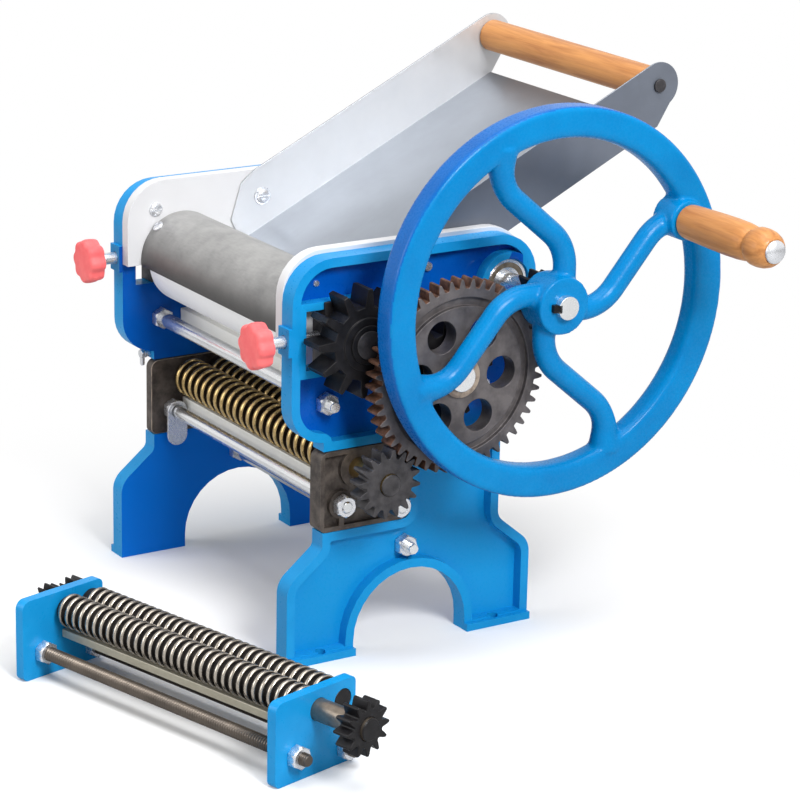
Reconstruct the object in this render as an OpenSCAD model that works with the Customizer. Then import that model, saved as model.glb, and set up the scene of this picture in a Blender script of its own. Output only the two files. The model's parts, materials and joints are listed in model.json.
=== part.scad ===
// Hand-cranked noodle and pasta machine: two side frames, a pair of smooth rollers, a cutter head in the
// front notch, a flywheel with a crank grip, a sheet tray, and a spare cutter head that stands by itself.
// X runs along the rollers to the flywheel side, Y to the back, Z up. The origin lies between the feet.

/* [Side frames] */
// Distance between the inner faces of the two side frames
inside_w = 216; // [190:1:250]
// Depth of the cast rim, measured from the inner face
frame_t = 13; // [12:0.5:16]
// Thickness of the flat web
web_t = 5; // [4:0.5:7]
// Width of the rim round the web
rim_w = 6; // [4:0.5:8]
// Length of the head from front to back
head_l = 180; // [178:1:196]
// Height of the top of the head
head_top = 265; // [262:1:285]
// Length over the feet
leg_l = 184; // [170:1:210]
// Length of the waist from front to back
waist_l = 133; // [128:1:140]
// Height where the legs begin to draw in
shoulder_z = 54; // [52:1:58]
// Height where the waist begins
waist_z = 75; // [72:1:79]
// Radius of the top corners of the head
head_r = 28; // [20:1:34]
// Radius of the lower corners of the head
jaw_r = 24; // [16:1:28]
// Radius of the shoulders of the legs
shoulder_r = 16; // [10:1:20]
// Width of the arch between the feet
arch_w = 85; // [70:1:96]
// Height of the arch between the feet
arch_h = 51.5; // [48:0.5:54]

/* [Feet] */
// Width of the foot flange, from the inner face
foot_w = 16.5; // [15:0.5:22]
// Thickness of the foot flange
foot_t = 5; // [4:0.5:7]
// Diameter of the screw holes in the feet
foot_hole_d = 7; // [5:0.5:8]
// Distance of the foot holes from the inner face
foot_hole_in = 10.8; // [10:0.1:11.5]
// Distance between the front and the rear foot hole
foot_hole_l = 132; // [120:1:146]

/* [Rollers] */
// Diameter of the two pressing rollers
roller_d = 59; // [54:0.5:62]
// Gap between the rollers when fully open
nip = 4.4; // [4.2:0.1:5]
// How far the front roller slides to close the gap
nip_travel = 4; // [2:0.1:4]
// Place of the front roller axis behind the origin
front_y = -49.3; // [-54:0.1:-46]
// Height of the front roller axis
front_z = 214; // [210:0.5:218]
// Angle by which the rear roller lies below the front one
pair_tilt = 23.2; // [20:0.1:26]
// Gap between each end of the front roller and the frame
front_end_gap = 17.5; // [16.5:0.5:25]
// Gap between each end of the rear roller and the frame
rear_end_gap = 2; // [1.5:0.5:10]
// Diameter of the roller journals
journal_d = 20; // [18:0.5:22]
// Diameter of the shaft ends that carry the gears
gear_shaft_d = 18; // [14:0.5:18]
// Teeth on each roller gear
roller_teeth = 12; // [10:1:14]
// Width of the roller gears
roller_gear_w = 19; // [12:0.5:19.5]
// Thickness of the guard sheet over the front roller
guard_t = 1; // [0.8:0.1:1.5]
// Gap between the front roller and its guard
guard_gap = 0.5; // [0.4:0.1:0.8]
// Outer diameter of the rear roller bushes
bush_d = 26; // [25:0.5:30]

/* [Drive] */
// Module of the drive gears
drive_mod = 2.5; // [2.4:0.05:2.55]
// Teeth on the large drive gear
large_teeth = 48; // [47:1:49]
// Teeth on the crank pinion
pinion_teeth = 11; // [11:1:12]
// Teeth on the cutter drive gear
cutter_teeth = 16; // [15:1:17]
// Width of the drive gears
drive_w = 12; // [9:0.5:12.5]
// Direction of the crank axis as seen from the rear roller axis
crank_ang = 36.1; // [34:0.1:38]
// Direction of the cutter axis as seen from the rear roller axis
cutter_ang = 231.6; // [230:0.1:233]
// Diameter of the lightening holes in the large gear
light_d = 21; // [14:1:21]
// Number of lightening holes
light_n = 6; // [4:1:6]

/* [Flywheel] */
// Outer diameter of the flywheel
wheel_d = 250.6; // [220:0.2:260]
// Radial width of the flywheel rim
wheel_rim_w = 19.7; // [15:0.1:24]
// Axial width of the flywheel rim
wheel_rim_t = 17.5; // [17:0.5:18.5]
// Diameter of the hub
hub_d = 37; // [32:0.5:42]
// Diameter of the round spokes
spoke_d = 15; // [11:0.5:16]
// Number of spokes
spoke_n = 4; // [3:1:5]
// Diameter of the crank shaft
crank_d = 15; // [12:0.5:15]
// Outer diameter of the crank bearings
bearing_d = 32; // [28:0.5:34]
// Width of the crank bearings
bearing_w = 9; // [7:0.5:10]
// Diameter of the handle bolt
bolt_d = 10; // [7:0.5:11]
// Length of the wooden grip
grip_l = 86; // [70:1:110]
// Largest diameter of the wooden grip
grip_d = 25; // [22:0.5:30]

/* [Cheeks and tray] */
// Thickness of the white cheeks
cheek_t = 8; // [6:0.5:10]
// Height of the cheeks above the head
cheek_lip = 2.8; // [1:0.1:5]
// Thickness of the tray sheet
sheet_t = 1.2; // [0.8:0.1:1.6]
// Length of the tray floor
tray_l = 219; // [180:1:240]
// Height of the tray walls
tray_h = 39; // [36:0.5:46]
// Slope of the tray
tray_slope = 26.3; // [24:0.1:28]
// Place of the tray's lower edge behind the origin
tray_y = 1.1; // [0:0.1:3]
// Height of the tray's lower edge
tray_z = 221.8; // [221:0.1:224]
// Diameter of the wooden tray roller
dowel_d = 22; // [16:0.5:26]
// Diameter of the tray roller's steel pin
dowel_pin_d = 6; // [4:0.5:8]

/* [Cutter heads] */
// Outer radius of the rings on the mounted cutter
ring_r = 13.5; // [12.5:0.1:13.8]
// Depth of the grooves on the mounted cutter
ring_depth = 3.5; // [2:0.1:4]
// Distance from ring to ring on the mounted cutter
ring_pitch = 9; // [8:0.1:10]
// Outer radius of the rings on the spare cutter
fine_ring_r = 11; // [9.5:0.1:11.5]
// Depth of the grooves on the spare cutter
fine_ring_depth = 2.5; // [1.8:0.1:3]
// Distance from ring to ring on the spare cutter
fine_ring_pitch = 6.4; // [5.5:0.1:7.5]
// Teeth on the spare cutter's drive gear
fine_teeth = 12; // [12:1:13]
// Gap between each end of the cutter rollers and the end plates
cutter_end_gap = 1; // [0.8:0.1:6]
// Diameter of the cutter roller journals
cutter_journal_d = 14; // [11:0.5:15]
// Plate length in front of the cutter axis
plate_front = 27.5; // [25:0.5:30]
// Plate length behind the cutter axis
plate_back = 38.5; // [37:0.5:40]
// Plate height above the cutter axis
plate_above = 13.3; // [12:0.1:14.5]
// Plate height below the cutter axis
plate_below = 39.7; // [37:0.1:41]
// Thickness of the mounted cutter's left end plate
left_plate_t = 8; // [7:0.5:12]
// Thickness of the spare cutter's end plates
fine_plate_t = 7; // [6:0.5:12]
// Place of the spare cutter on the table, along X
spare_x = 158; // [150:1:200]
// Place of the spare cutter on the table, along Y
spare_y = -187; // [-240:1:-180]
// Turn of the spare cutter on the table
spare_turn = 15; // [0:1:40]

/* [Fasteners] */
// Diameter of the tie rods
rod_d = 10; // [9:0.5:12]
// Thread diameter of the tie rod ends
rod_thread_d = 8; // [6:0.5:8.5]
// Width across flats of the nuts
nut_af = 13; // [12.5:0.5:15]
// Thickness of the nuts
nut_t = 6.5; // [5:0.5:7]
// Thread diameter of the adjusting screws
adjust_d = 8; // [6:0.5:9]
// Diameter over the lobes of the knobs
knob_d = 30.5; // [28:0.5:38]
// Thickness of the knobs
knob_t = 12; // [10:0.5:18]
// Diameter of the screw heads
head_d = 10; // [7:0.5:12]

/* [Clearances] */
// Radial clearance of running fits
run_gap = 0.05; // [0.02:0.01:0.08]
// Radial clearance of keyed and pressed fits
fix_gap = 0.02; // [0.01:0.01:0.03]
// Clearance of sliding parts
slide_gap = 0.3; // [0.25:0.05:0.4]
// Extra distance between gear axes beyond the pitch circles
mesh_gap = 0.35; // [0.3:0.05:0.5]

/* [Hidden] */
$fn = 64;

// Colours
paint_blue = "#0a86d2";
white_plastic = "#f2f2f2";
bright_steel = "#c9ced4";
dull_steel = "#a9adb1";
cast_dark = "#4a4643";
cast_brown = "#6b625c";
black_iron = "#2e2c2b";
zinc = "#d5d8dc";
knob_red = "#e2474d";
wood = "#d99a58";
bronze = "#a58b5a";

// Derived places
in_x = inside_w / 2;
web_x = in_x + web_t;
rim_x = in_x + frame_t;
front_face_l = inside_w - 2 * front_end_gap;
rear_face_l = inside_w - 2 * rear_end_gap;
cutter_face_l = inside_w - 2 * cutter_end_gap;
roller_r = roller_d / 2;
rear_y = front_y + (roller_d + nip) * cos(pair_tilt);
rear_z = front_z - (roller_d + nip) * sin(pair_tilt);
roller_mod = (roller_d + 1) / roller_teeth;
crank_reach = drive_mod * (large_teeth + pinion_teeth) / 2 + mesh_gap;
crank_y = rear_y + crank_reach * cos(crank_ang);
crank_z = rear_z + crank_reach * sin(crank_ang);
cut_reach = drive_mod * (large_teeth + cutter_teeth) / 2 + mesh_gap;
cut_y = rear_y + cut_reach * cos(cutter_ang);
cut_z = rear_z + cut_reach * sin(cutter_ang);
plate_y0 = cut_y - plate_front;
plate_y1 = cut_y + plate_back;
plate_z0 = cut_z - plate_below;
plate_z1 = cut_z + plate_above;
notch_low = plate_z0 - slide_gap;
notch_high = plate_z1 + 3 * slide_gap;
notch_back = plate_y1 + 2 * slide_gap;
waist_top = notch_high + 6;
jaw_z = waist_top + 5;

// Places along X outside the right frame
flange_t = 2;
block_x = rim_x + slide_gap + flange_t;
roller_gear_x = block_x + 1;
drive_x = roller_gear_x + roller_gear_w + 3.8;
drive_end = drive_x + drive_w;
wheel_x = drive_end + 13.2;
hub_back = drive_end + 2;
hub_front = wheel_x + wheel_rim_t / 2 + 3;

// Bearing block and its slot
block_half = 18.8;
block_flange = 24;
slot_front = front_y - block_half - 12;
slot_back = front_y + block_half + nip_travel + 2 * slide_gap;
slot_half = block_half + slide_gap;
guide_w = 5;
adjust_x = in_x + frame_t / 2;
front_edge = -head_l / 2;

// Guard over the front roller
guard_in = roller_r + guard_gap;
guard_out = guard_in + guard_t;
guard_from = 33;
guard_to = 187;
bracket_x = front_face_l / 2 + 0.6;
bracket_r = block_half - 1;

// Tie rods and screws, as points behind the origin and above the table
lower_rod = [-1.3, arch_h + rim_w + nut_af / 2 / cos(30) + 0.8];
upper_rod = [front_y - 12.2, front_z - 44];
rear_rod = [52, rear_z - 24];
cheek_screw = [front_y - 19.7, front_z + 34];
cheek_screw_d = 4;
tray_screw_d = 6;
tray_pivot = [22, 19.4];
cheek_x = in_x - cheek_t;
tray_x = cheek_x - 0.4;
dowel_at = [tray_l + 12, tray_h - dowel_d / 2 - 4.5];

// Flywheel details
wheel_r = wheel_d / 2;
wheel_bore_r = wheel_r - wheel_rim_w;
spoke_low = -7;
spoke_high = 43;
spoke_bend = 30;
spoke_swing = 50;
spoke_start = 22;
spoke_straight = (spoke_high - spoke_low - 2 * spoke_bend * (1 - cos(spoke_swing))) / sin(spoke_swing);
boss_at = [wheel_bore_r - 13.2, spoke_high + 1.5];
boss_r = 13;
boss_front = hub_front + 1.5;

// Small helpers

// Draws its flat children in the YZ plane and extrudes them along X from x0
module across(x0, h) {
    translate([x0, 0, 0]) rotate([90, 0, 90]) linear_extrude(h) children();
}

// A round bar along X between two places
module bar_x(x0, x1, d, y = 0, z = 0) {
    translate([x0, y, z]) rotate([0, 90, 0]) cylinder(d = d, h = x1 - x0);
}

// A hexagonal nut along X, from x0 to x1, on a bore
module nut_x(x0, x1, af, bore, y, z) {
    difference() {
        translate([x0, y, z]) rotate([0, 90, 0]) cylinder(d = af / cos(30), h = x1 - x0, $fn = 6);
        bar_x(x0 - 1, x1 + 1, bore, y, z);
    }
}

// Draws its children on both sides of the machine
module both_sides() {
    children();
    mirror([1, 0, 0]) children();
}

function unit(v) = v / norm(v);
function polar(r, a) = [r * cos(a), r * sin(a)];

// The points of a rounded corner at b, between a and c
function corner(a, b, c, r, n = 8) =
    r < 0.05 ? [b] :
    let (
        u = unit(a - b),
        v = unit(c - b),
        half = acos(u * v) / 2,
        centre = b + unit(u + v) * r / sin(half),
        from = b + u * r / tan(half) - centre,
        to = b + v * r / tan(half) - centre,
        a0 = atan2(from.y, from.x),
        turn = atan2(from.x * to.y - from.y * to.x, from * to)
    )
    [for (k = [0:n]) centre + polar(r, a0 + turn * k / n)];

// A closed outline from corners [y, z, radius]
function rounded(list) =
    let (n = len(list), at = [for (c = list) [c[0], c[1]]])
    [for (i = [0:n - 1]) each corner(at[(i + n - 1) % n], at[i], at[(i + 1) % n], list[i][2])];

// The same corners moved inwards by d, for a list that runs counter-clockwise
function inset(list, d) =
    let (n = len(list), at = [for (c = list) [c[0], c[1]]])
    [for (i = [0:n - 1])
        let (
            e = unit(at[i] - at[(i + n - 1) % n]),
            f = unit(at[(i + 1) % n] - at[i]),
            p = [-e.y, e.x],
            q = [-f.y, f.x],
            m = at[i] + (p + q) * d / (1 + p * q),
            outward = e.x * f.y - e.y * f.x > 0
        )
        [m.x, m.y, outward ? max(list[i][2] - d, 1) : list[i][2] + d]];

// Gear wheel outline: straight-sided teeth with a width at root, pitch circle and tip
module gear_outline(teeth, mod, phase, depth_in, depth_out, root_w, pitch_w, tip_w) {
    pitch_r = teeth * mod / 2;
    flank = [
        [pitch_r - depth_in * mod, root_w * mod],
        [pitch_r, pitch_w * mod],
        [pitch_r + depth_out * mod, tip_w * mod]
    ];
    polygon([
        for (i = [0:teeth - 1]) let (a = phase + i * 360 / teeth)
            each concat(
                [for (k = [0:2]) polar(flank[k][0], a - asin(flank[k][1] / 2 / flank[k][0]))],
                [for (k = [2:-1:0]) polar(flank[k][0], a + asin(flank[k][1] / 2 / flank[k][0]))]
            )
    ]);
}

// Phase of a gear that meshes with another one lying in direction to_it, as seen from the first
function mesh_phase(teeth, phase, mate_teeth, to_it) =
    to_it + 180 + (180 - teeth * (phase - to_it)) / mate_teeth;

// Phases of the whole train, from the large gear
large_phase = 0;
pinion_phase = mesh_phase(large_teeth, large_phase, pinion_teeth, crank_ang);
cutter_phase = mesh_phase(large_teeth, large_phase, cutter_teeth, cutter_ang);
rear_phase = 0;
pair_dir = atan2(front_z - rear_z, front_y + nip_travel / 2 - rear_y);
front_phase = mesh_phase(roller_teeth, rear_phase, roller_teeth, pair_dir);

// Side frames

frame_corners = [
    [leg_l / 2, 0, 0],
    [leg_l / 2, shoulder_z, shoulder_r],
    [waist_l / 2, waist_z, 10],
    [waist_l / 2, waist_top, 6],
    [head_l / 2, jaw_z, jaw_r],
    [head_l / 2, head_top, head_r],
    [-head_l / 2, head_top, head_r],
    [-head_l / 2, jaw_z, jaw_r],
    [-waist_l / 2, waist_top, 1],
    [-waist_l / 2, notch_high, 0],
    [notch_back, notch_high, 5],
    [notch_back, notch_low, 5],
    [-waist_l / 2, notch_low, 0],
    [-waist_l / 2, waist_z, 6],
    [-leg_l / 2, shoulder_z, shoulder_r],
    [-leg_l / 2, 0, 0],
    [-arch_w / 2, 0, 0],
    [-arch_w / 2, arch_h, arch_w / 2 - 0.1],
    [arch_w / 2, arch_h, arch_w / 2 - 0.1],
    [arch_w / 2, 0, 0]
];

// Raised guides round the slot of the bearing block
module block_guides() {
    translate([in_x, slot_front - guide_w, front_z - slot_half - guide_w])
        cube([frame_t, slot_back - slot_front + 2 * guide_w, 2 * (slot_half + guide_w)]);
}

// Boss in the front rim for the adjusting screw
module adjust_boss() {
    translate([in_x, front_edge - 2.5, front_z - 9])
        cube([frame_t, slot_front - front_edge + 2.5, 18]);
}

module side_frame(latched) {
    hole_d = rod_thread_d + 0.4;
    difference() {
        union() {
            difference() {
                across(in_x, frame_t) polygon(rounded(frame_corners));
                across(web_x, frame_t) polygon(rounded(inset(frame_corners, rim_w)));
            }
            block_guides();
            adjust_boss();
            bar_x(in_x, rim_x, bush_d + 14, rear_y, rear_z);
            bar_x(in_x, rim_x, bearing_d + 9, crank_y, crank_z);
            for (s = [-1, 1])
                translate([in_x, s > 0 ? arch_w / 2 : -leg_l / 2, 0])
                    cube([foot_w, (leg_l - arch_w) / 2, foot_t]);
        }
        translate([in_x - 1, slot_front, front_z - slot_half])
            cube([frame_t + 2, slot_back - slot_front, 2 * slot_half]);
        translate([adjust_x, front_edge - 4, front_z]) rotate([-90, 0, 0])
            cylinder(d = adjust_d + 2 * slide_gap, h = slot_front - front_edge + 8);
        bar_x(in_x - 1, rim_x + 1, bush_d, rear_y, rear_z);
        bar_x(rim_x - bearing_w - 2, rim_x + 1, bearing_d, crank_y, crank_z);
        bar_x(in_x - 1, rim_x + 1, bearing_d - 6, crank_y, crank_z);
        for (p = [lower_rod, upper_rod, rear_rod])
            bar_x(in_x - 1, web_x + 1, hole_d, p.x, p.y);
        bar_x(in_x - 1, web_x + 1, cheek_screw_d, cheek_screw.x, cheek_screw.y);
        bar_x(in_x - 1, web_x + 1, tray_screw_d, tray_screw.x, tray_screw.y);
        for (s = [-1, 1])
            translate([in_x + foot_hole_in, s * foot_hole_l / 2, -1])
                cylinder(d = foot_hole_d, h = foot_t + 2);
        if (latched) latch_hole();
    }
}

module right_side_frame() {
    color(paint_blue) side_frame(false);
}

module left_side_frame() {
    color(paint_blue) mirror([1, 0, 0]) side_frame(true);
}

// White cheeks inside the frames

cheek_low = front_z - 3.5;
cheek_corners = [
    [head_l / 2 - 1, cheek_low, 0],
    [head_l / 2 - 1, head_top + cheek_lip, head_r],
    [front_edge, head_top + cheek_lip, head_r],
    [front_edge, cheek_low, 0]
];
tray_screw = [
    tray_y + tray_pivot.x * cos(tray_slope) - tray_pivot.y * sin(tray_slope),
    tray_z + tray_pivot.x * sin(tray_slope) + tray_pivot.y * cos(tray_slope)
];

// The cutout in front lets the guard's arms through, with room for the travel of the roller
module cheek() {
    cut_r = bracket_r + slide_gap;
    difference() {
        across(cheek_x, cheek_t) polygon(rounded(cheek_corners));
        for (t = [0, nip_travel])
            bar_x(cheek_x - 1, in_x + 1, 2 * cut_r, front_y + t, front_z);
        translate([cheek_x - 1, front_y, front_z - cut_r]) cube([cheek_t + 2, nip_travel, 2 * cut_r]);
        bar_x(cheek_x - 1, in_x + 1, roller_d + 4 * slide_gap, rear_y, rear_z);
        bar_x(cheek_x - 1, in_x + 1, crank_d + 4, crank_y, crank_z);
        bar_x(cheek_x - 1, in_x + 1, cheek_screw_d, cheek_screw.x, cheek_screw.y);
        bar_x(cheek_x - 1, in_x + 1, tray_screw_d, tray_screw.x, tray_screw.y);
    }
}

module right_cheek() {
    color(white_plastic) cheek();
}

module left_cheek() {
    color(white_plastic) mirror([1, 0, 0]) cheek();
}

module cheek_screws() {
    color(zinc) both_sides() {
        bar_x(cheek_x - 2.5, cheek_x, head_d, cheek_screw.x, cheek_screw.y);
        bar_x(cheek_x - 1, web_x + 1.5, cheek_screw_d - 2 * fix_gap, cheek_screw.x, cheek_screw.y);
    }
}

module tray_screws() {
    color(zinc) both_sides() {
        bar_x(tray_x - sheet_t - 3.3, tray_x - sheet_t - slide_gap, head_d + 2, tray_screw.x, tray_screw.y);
        bar_x(tray_x - sheet_t - 1, web_x + 2, tray_screw_d - 2 * fix_gap, tray_screw.x, tray_screw.y);
    }
}

// Tie rods with nuts on both faces of each frame

rod_end = web_x + nut_t + 7;

module tie_rod(p) {
    color(bright_steel) {
        bar_x(-rod_end, rod_end, rod_thread_d, p.x, p.y);
        bar_x(-in_x + nut_t, in_x - nut_t, rod_d, p.x, p.y);
    }
}

module lower_tie_rod() {
    tie_rod(lower_rod);
}

module upper_tie_rod() {
    tie_rod(upper_rod);
}

module rear_tie_rod() {
    tie_rod(rear_rod);
}

module tie_rod_nuts() {
    bore = rod_thread_d + 2 * fix_gap;
    color(zinc) both_sides() for (p = [lower_rod, upper_rod, rear_rod]) {
        nut_x(in_x - nut_t, in_x, nut_af, bore, p.x, p.y);
        nut_x(web_x, web_x + nut_t, nut_af, bore, p.x, p.y);
    }
}

// Scraper bars that strip the dough from the undersides of the two rollers
scraper_t = 6;
scraper_h = 14.5;
scraper_drop = 10;
blade_t = 1.5;
blade_gap = 0.4;

// A bar between the frames with a thin blade that stands up behind it to the roller
module scraper(y, z) {
    low = z - roller_r - scraper_drop - scraper_h;
    translate([-in_x, y, low]) cube([inside_w, scraper_t, scraper_h]);
    translate([-in_x, y + scraper_t - blade_t, low])
        cube([inside_w, blade_t, scraper_h + scraper_drop - blade_gap]);
}

module roller_scrapers() {
    color(white_plastic) {
        scraper(front_y + 3.3, front_z);
        scraper(rear_y + 2, rear_z);
    }
}

module crank_bearings() {
    color(bright_steel) both_sides() difference() {
        bar_x(rim_x - bearing_w - 2, rim_x - 2, bearing_d - 2 * fix_gap, crank_y, crank_z);
        bar_x(in_x, rim_x + 1, crank_d + 2 * run_gap, crank_y, crank_z);
        difference() {
            bar_x(rim_x - 3, rim_x, bearing_d - 6, crank_y, crank_z);
            bar_x(rim_x - 4, rim_x + 1, crank_d + 5, crank_y, crank_z);
        }
    }
}

module roller_bushes() {
    color(bronze) both_sides() difference() {
        bar_x(in_x, rim_x, bush_d - 2 * fix_gap, rear_y, rear_z);
        bar_x(in_x - 1, rim_x + 1, journal_d + 2 * run_gap, rear_y, rear_z);
    }
}

// Latch on the front of the left frame: its finger hangs beside the cutter's end plate, and turned inwards
// it keeps the cutter head in its notch
latch_t = 2;
latch_w = 6;
latch_l = 7.5;
finger_w = 4;
latch_screw_d = 3;
latch_at = [-in_x - left_plate_t + 0.5, (notch_high + waist_top) / 2];
finger_x = -in_x - left_plate_t - 2 * slide_gap - finger_w - latch_at.x;
latch_face = min(-waist_l / 2, plate_y0) - 2 * slide_gap;

module latch_hole() {
    translate([-latch_at.x, -waist_l / 2 - 1, latch_at.y]) rotate([-90, 0, 0])
        cylinder(d = latch_screw_d, h = 13);
}

module cutter_latch() {
    color(zinc) translate([latch_at.x, latch_face, latch_at.y]) rotate([90, 0, 0]) difference() {
        union() {
            cylinder(d = latch_w, h = latch_t);
            translate([finger_x, -latch_w / 2, 0]) cube([-finger_x, latch_w, latch_t]);
            translate([finger_x, -latch_l, 0]) cube([finger_w, latch_l, latch_t]);
            translate([finger_x + finger_w / 2, -latch_l, 0]) cylinder(d = finger_w, h = latch_t);
        }
        translate([0, 0, -1]) cylinder(d = latch_screw_d + 2 * run_gap, h = latch_t + 2);
    }
}

module latch_screw() {
    head_t = 2;
    color(zinc) translate([latch_at.x, latch_face - latch_t - slide_gap, latch_at.y]) rotate([-90, 0, 0]) {
        cylinder(d = latch_screw_d - 2 * fix_gap, h = -waist_l / 2 - latch_face + latch_t + slide_gap + 11);
        translate([0, 0, -head_t]) cylinder(d = latch_w, h = head_t);
        translate([0, 0, latch_t + slide_gap + 0.2])
            cylinder(d = latch_w - 1, h = -waist_l / 2 - latch_face - 0.2);
    }
}

// Sliding bearing blocks of the front roller, their screws and knobs

module bearing_block() {
    difference() {
        union() {
            translate([in_x, front_y - block_half, front_z - block_half])
                cube([frame_t + slide_gap, 2 * block_half, 2 * block_half]);
            translate([rim_x + slide_gap, front_y - block_half, front_z - block_flange])
                cube([flange_t, 2 * block_half, 2 * block_flange]);
        }
        bar_x(in_x - 1, block_x + 1, journal_d + 2 * run_gap, front_y, front_z);
    }
}

module right_bearing_block() {
    color(cast_dark) bearing_block();
}

module left_bearing_block() {
    color(cast_dark) mirror([1, 0, 0]) bearing_block();
}

knob_y = front_edge - 15;

module adjust_screw() {
    tip = front_y - block_half;
    translate([adjust_x, knob_y, front_z]) rotate([-90, 0, 0]) {
        cylinder(d = adjust_d, h = tip - knob_y);
        cylinder(d = adjust_d + 4, h = 2.5);
    }
}

module right_adjust_screw() {
    color(zinc) adjust_screw();
}

module left_adjust_screw() {
    color(zinc) mirror([1, 0, 0]) adjust_screw();
}

module knob() {
    lobe_r = knob_d / 6;
    translate([adjust_x, knob_y, front_z]) rotate([90, 0, 0]) union() {
        cylinder(r = knob_d / 2 - lobe_r, h = knob_t);
        for (i = [0:5])
            rotate([0, 0, i * 60]) translate([knob_d / 2 - lobe_r, 0, 0]) cylinder(r = lobe_r, h = knob_t);
    }
}

module right_knob() {
    color(knob_red) knob();
}

module left_knob() {
    color(knob_red) mirror([1, 0, 0]) knob();
}

// Guard sheet over the front roller, held on the blocks by two end brackets

// The section of the guard and its brackets as [radius, place along X], swept round the front roller axis
module roller_guard() {
    guard_end = cheek_x - slide_gap;
    bore_r = journal_d / 2 + 1;
    half = [
        [bracket_r, in_x],
        [bracket_r, guard_end],
        [guard_out, guard_end]
    ];
    inner = [
        [guard_in, bracket_x],
        [bore_r, bracket_x],
        [bore_r, in_x]
    ];
    section = concat(
        half,
        [for (k = [2:-1:0]) [half[k].x, -half[k].y]],
        [for (k = [2:-1:0]) [inner[k].x, -inner[k].y]],
        inner
    );
    color(dull_steel) translate([0, front_y, front_z]) rotate([90, 0, 90]) rotate([0, 0, guard_from])
        rotate_extrude(angle = guard_to - guard_from) polygon(section);
}

guard_screw_ang = 131;
guard_screw_x = cheek_x - 5;

module guard_screws() {
    color(zinc) both_sides() translate([guard_screw_x, front_y, front_z]) rotate([guard_screw_ang - 90, 0, 0])
        translate([0, 0, guard_out]) cylinder(d = head_d - 2, h = 1.8);
}

// Pressing rollers with their gears

module front_roller() {
    color(bright_steel) union() {
        bar_x(-front_face_l / 2, front_face_l / 2, roller_d, front_y, front_z);
        bar_x(-block_x, block_x, journal_d, front_y, front_z);
        bar_x(0, roller_gear_x + roller_gear_w + 3, gear_shaft_d, front_y, front_z);
    }
}

module rear_roller() {
    color(bright_steel) union() {
        bar_x(-rear_face_l / 2, rear_face_l / 2, roller_d, rear_y, rear_z);
        bar_x(-rim_x, rim_x + 1, journal_d, rear_y, rear_z);
        bar_x(0, drive_end + 4, gear_shaft_d, rear_y, rear_z);
    }
}

module roller_gear(y, z, phase) {
    difference() {
        union() {
            translate([0, y, z]) across(roller_gear_x, roller_gear_w)
                gear_outline(roller_teeth, roller_mod, phase, 1.3, 0.97, 1.28, 1, 0.7);
            bar_x(roller_gear_x, roller_gear_x + roller_gear_w + 1, gear_shaft_d + 16, y, z);
        }
        bar_x(roller_gear_x - 1, roller_gear_x + roller_gear_w + 2, gear_shaft_d + 2 * fix_gap, y, z);
    }
}

module front_roller_gear() {
    color(black_iron) roller_gear(front_y, front_z, front_phase);
}

module rear_roller_gear() {
    color(black_iron) roller_gear(rear_y, rear_z, rear_phase);
}

module shaft_ring(x0, x1, d, bore, y, z) {
    difference() {
        bar_x(x0, x1, d, y, z);
        bar_x(x0 - 1, x1 + 1, bore, y, z);
    }
}

module front_gear_clip() {
    x0 = roller_gear_x + roller_gear_w + 1;
    bore = gear_shaft_d + 2 * fix_gap;
    color(black_iron) shaft_ring(x0, x0 + 1.5, gear_shaft_d + 7, bore, front_y, front_z);
}

// A plain drive gear with its teeth and bore
module drive_gear(teeth, phase, x0, width, bore, y, z) {
    difference() {
        translate([0, y, z]) across(x0, width)
            gear_outline(teeth, drive_mod, phase, 1.25, 1, 1.9, 1.36, 0.7);
        bar_x(x0 - 1, x0 + width + 1, bore, y, z);
    }
}

light_r = 30.5;
light_first = -2.4;

module large_drive_gear() {
    web_r = light_r + light_d / 2 + 4.5;
    groove_r = drive_mod * large_teeth / 2 - 9;
    color(cast_brown) difference() {
        drive_gear(large_teeth, large_phase, drive_x, drive_w, gear_shaft_d + 2 * fix_gap, rear_y, rear_z);
        for (i = [0:light_n - 1])
            let (p = polar(light_r, light_first + i * 360 / light_n))
                bar_x(drive_x - 1, drive_end + 1, light_d, rear_y + p.x, rear_z + p.y);
        difference() {
            bar_x(drive_end - 3, drive_end + 1, 2 * groove_r, rear_y, rear_z);
            bar_x(drive_end - 4, drive_end + 2, 2 * web_r, rear_y, rear_z);
        }
    }
}

module drive_gear_ring() {
    bore = gear_shaft_d + 2 * fix_gap;
    color(zinc) shaft_ring(drive_end, drive_end + 2, gear_shaft_d + 9, bore, rear_y, rear_z);
}

// Crank shaft, flywheel and grip

key_w = 5;

module crank_shaft() {
    color(bright_steel) difference() {
        bar_x(-rim_x, hub_front + 5, crank_d, crank_y, crank_z);
        translate([hub_back, crank_y - crank_d / 2 - 1, crank_z - key_w / 2])
            cube([hub_front - hub_back + 10, 3.5, key_w]);
    }
}

module flywheel_key() {
    color(black_iron) translate([hub_back, crank_y - crank_d / 2 - 2.5, crank_z - key_w / 2 + fix_gap])
        cube([hub_front - hub_back + 3, 5 - fix_gap, key_w - 2 * fix_gap]);
}

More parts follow.
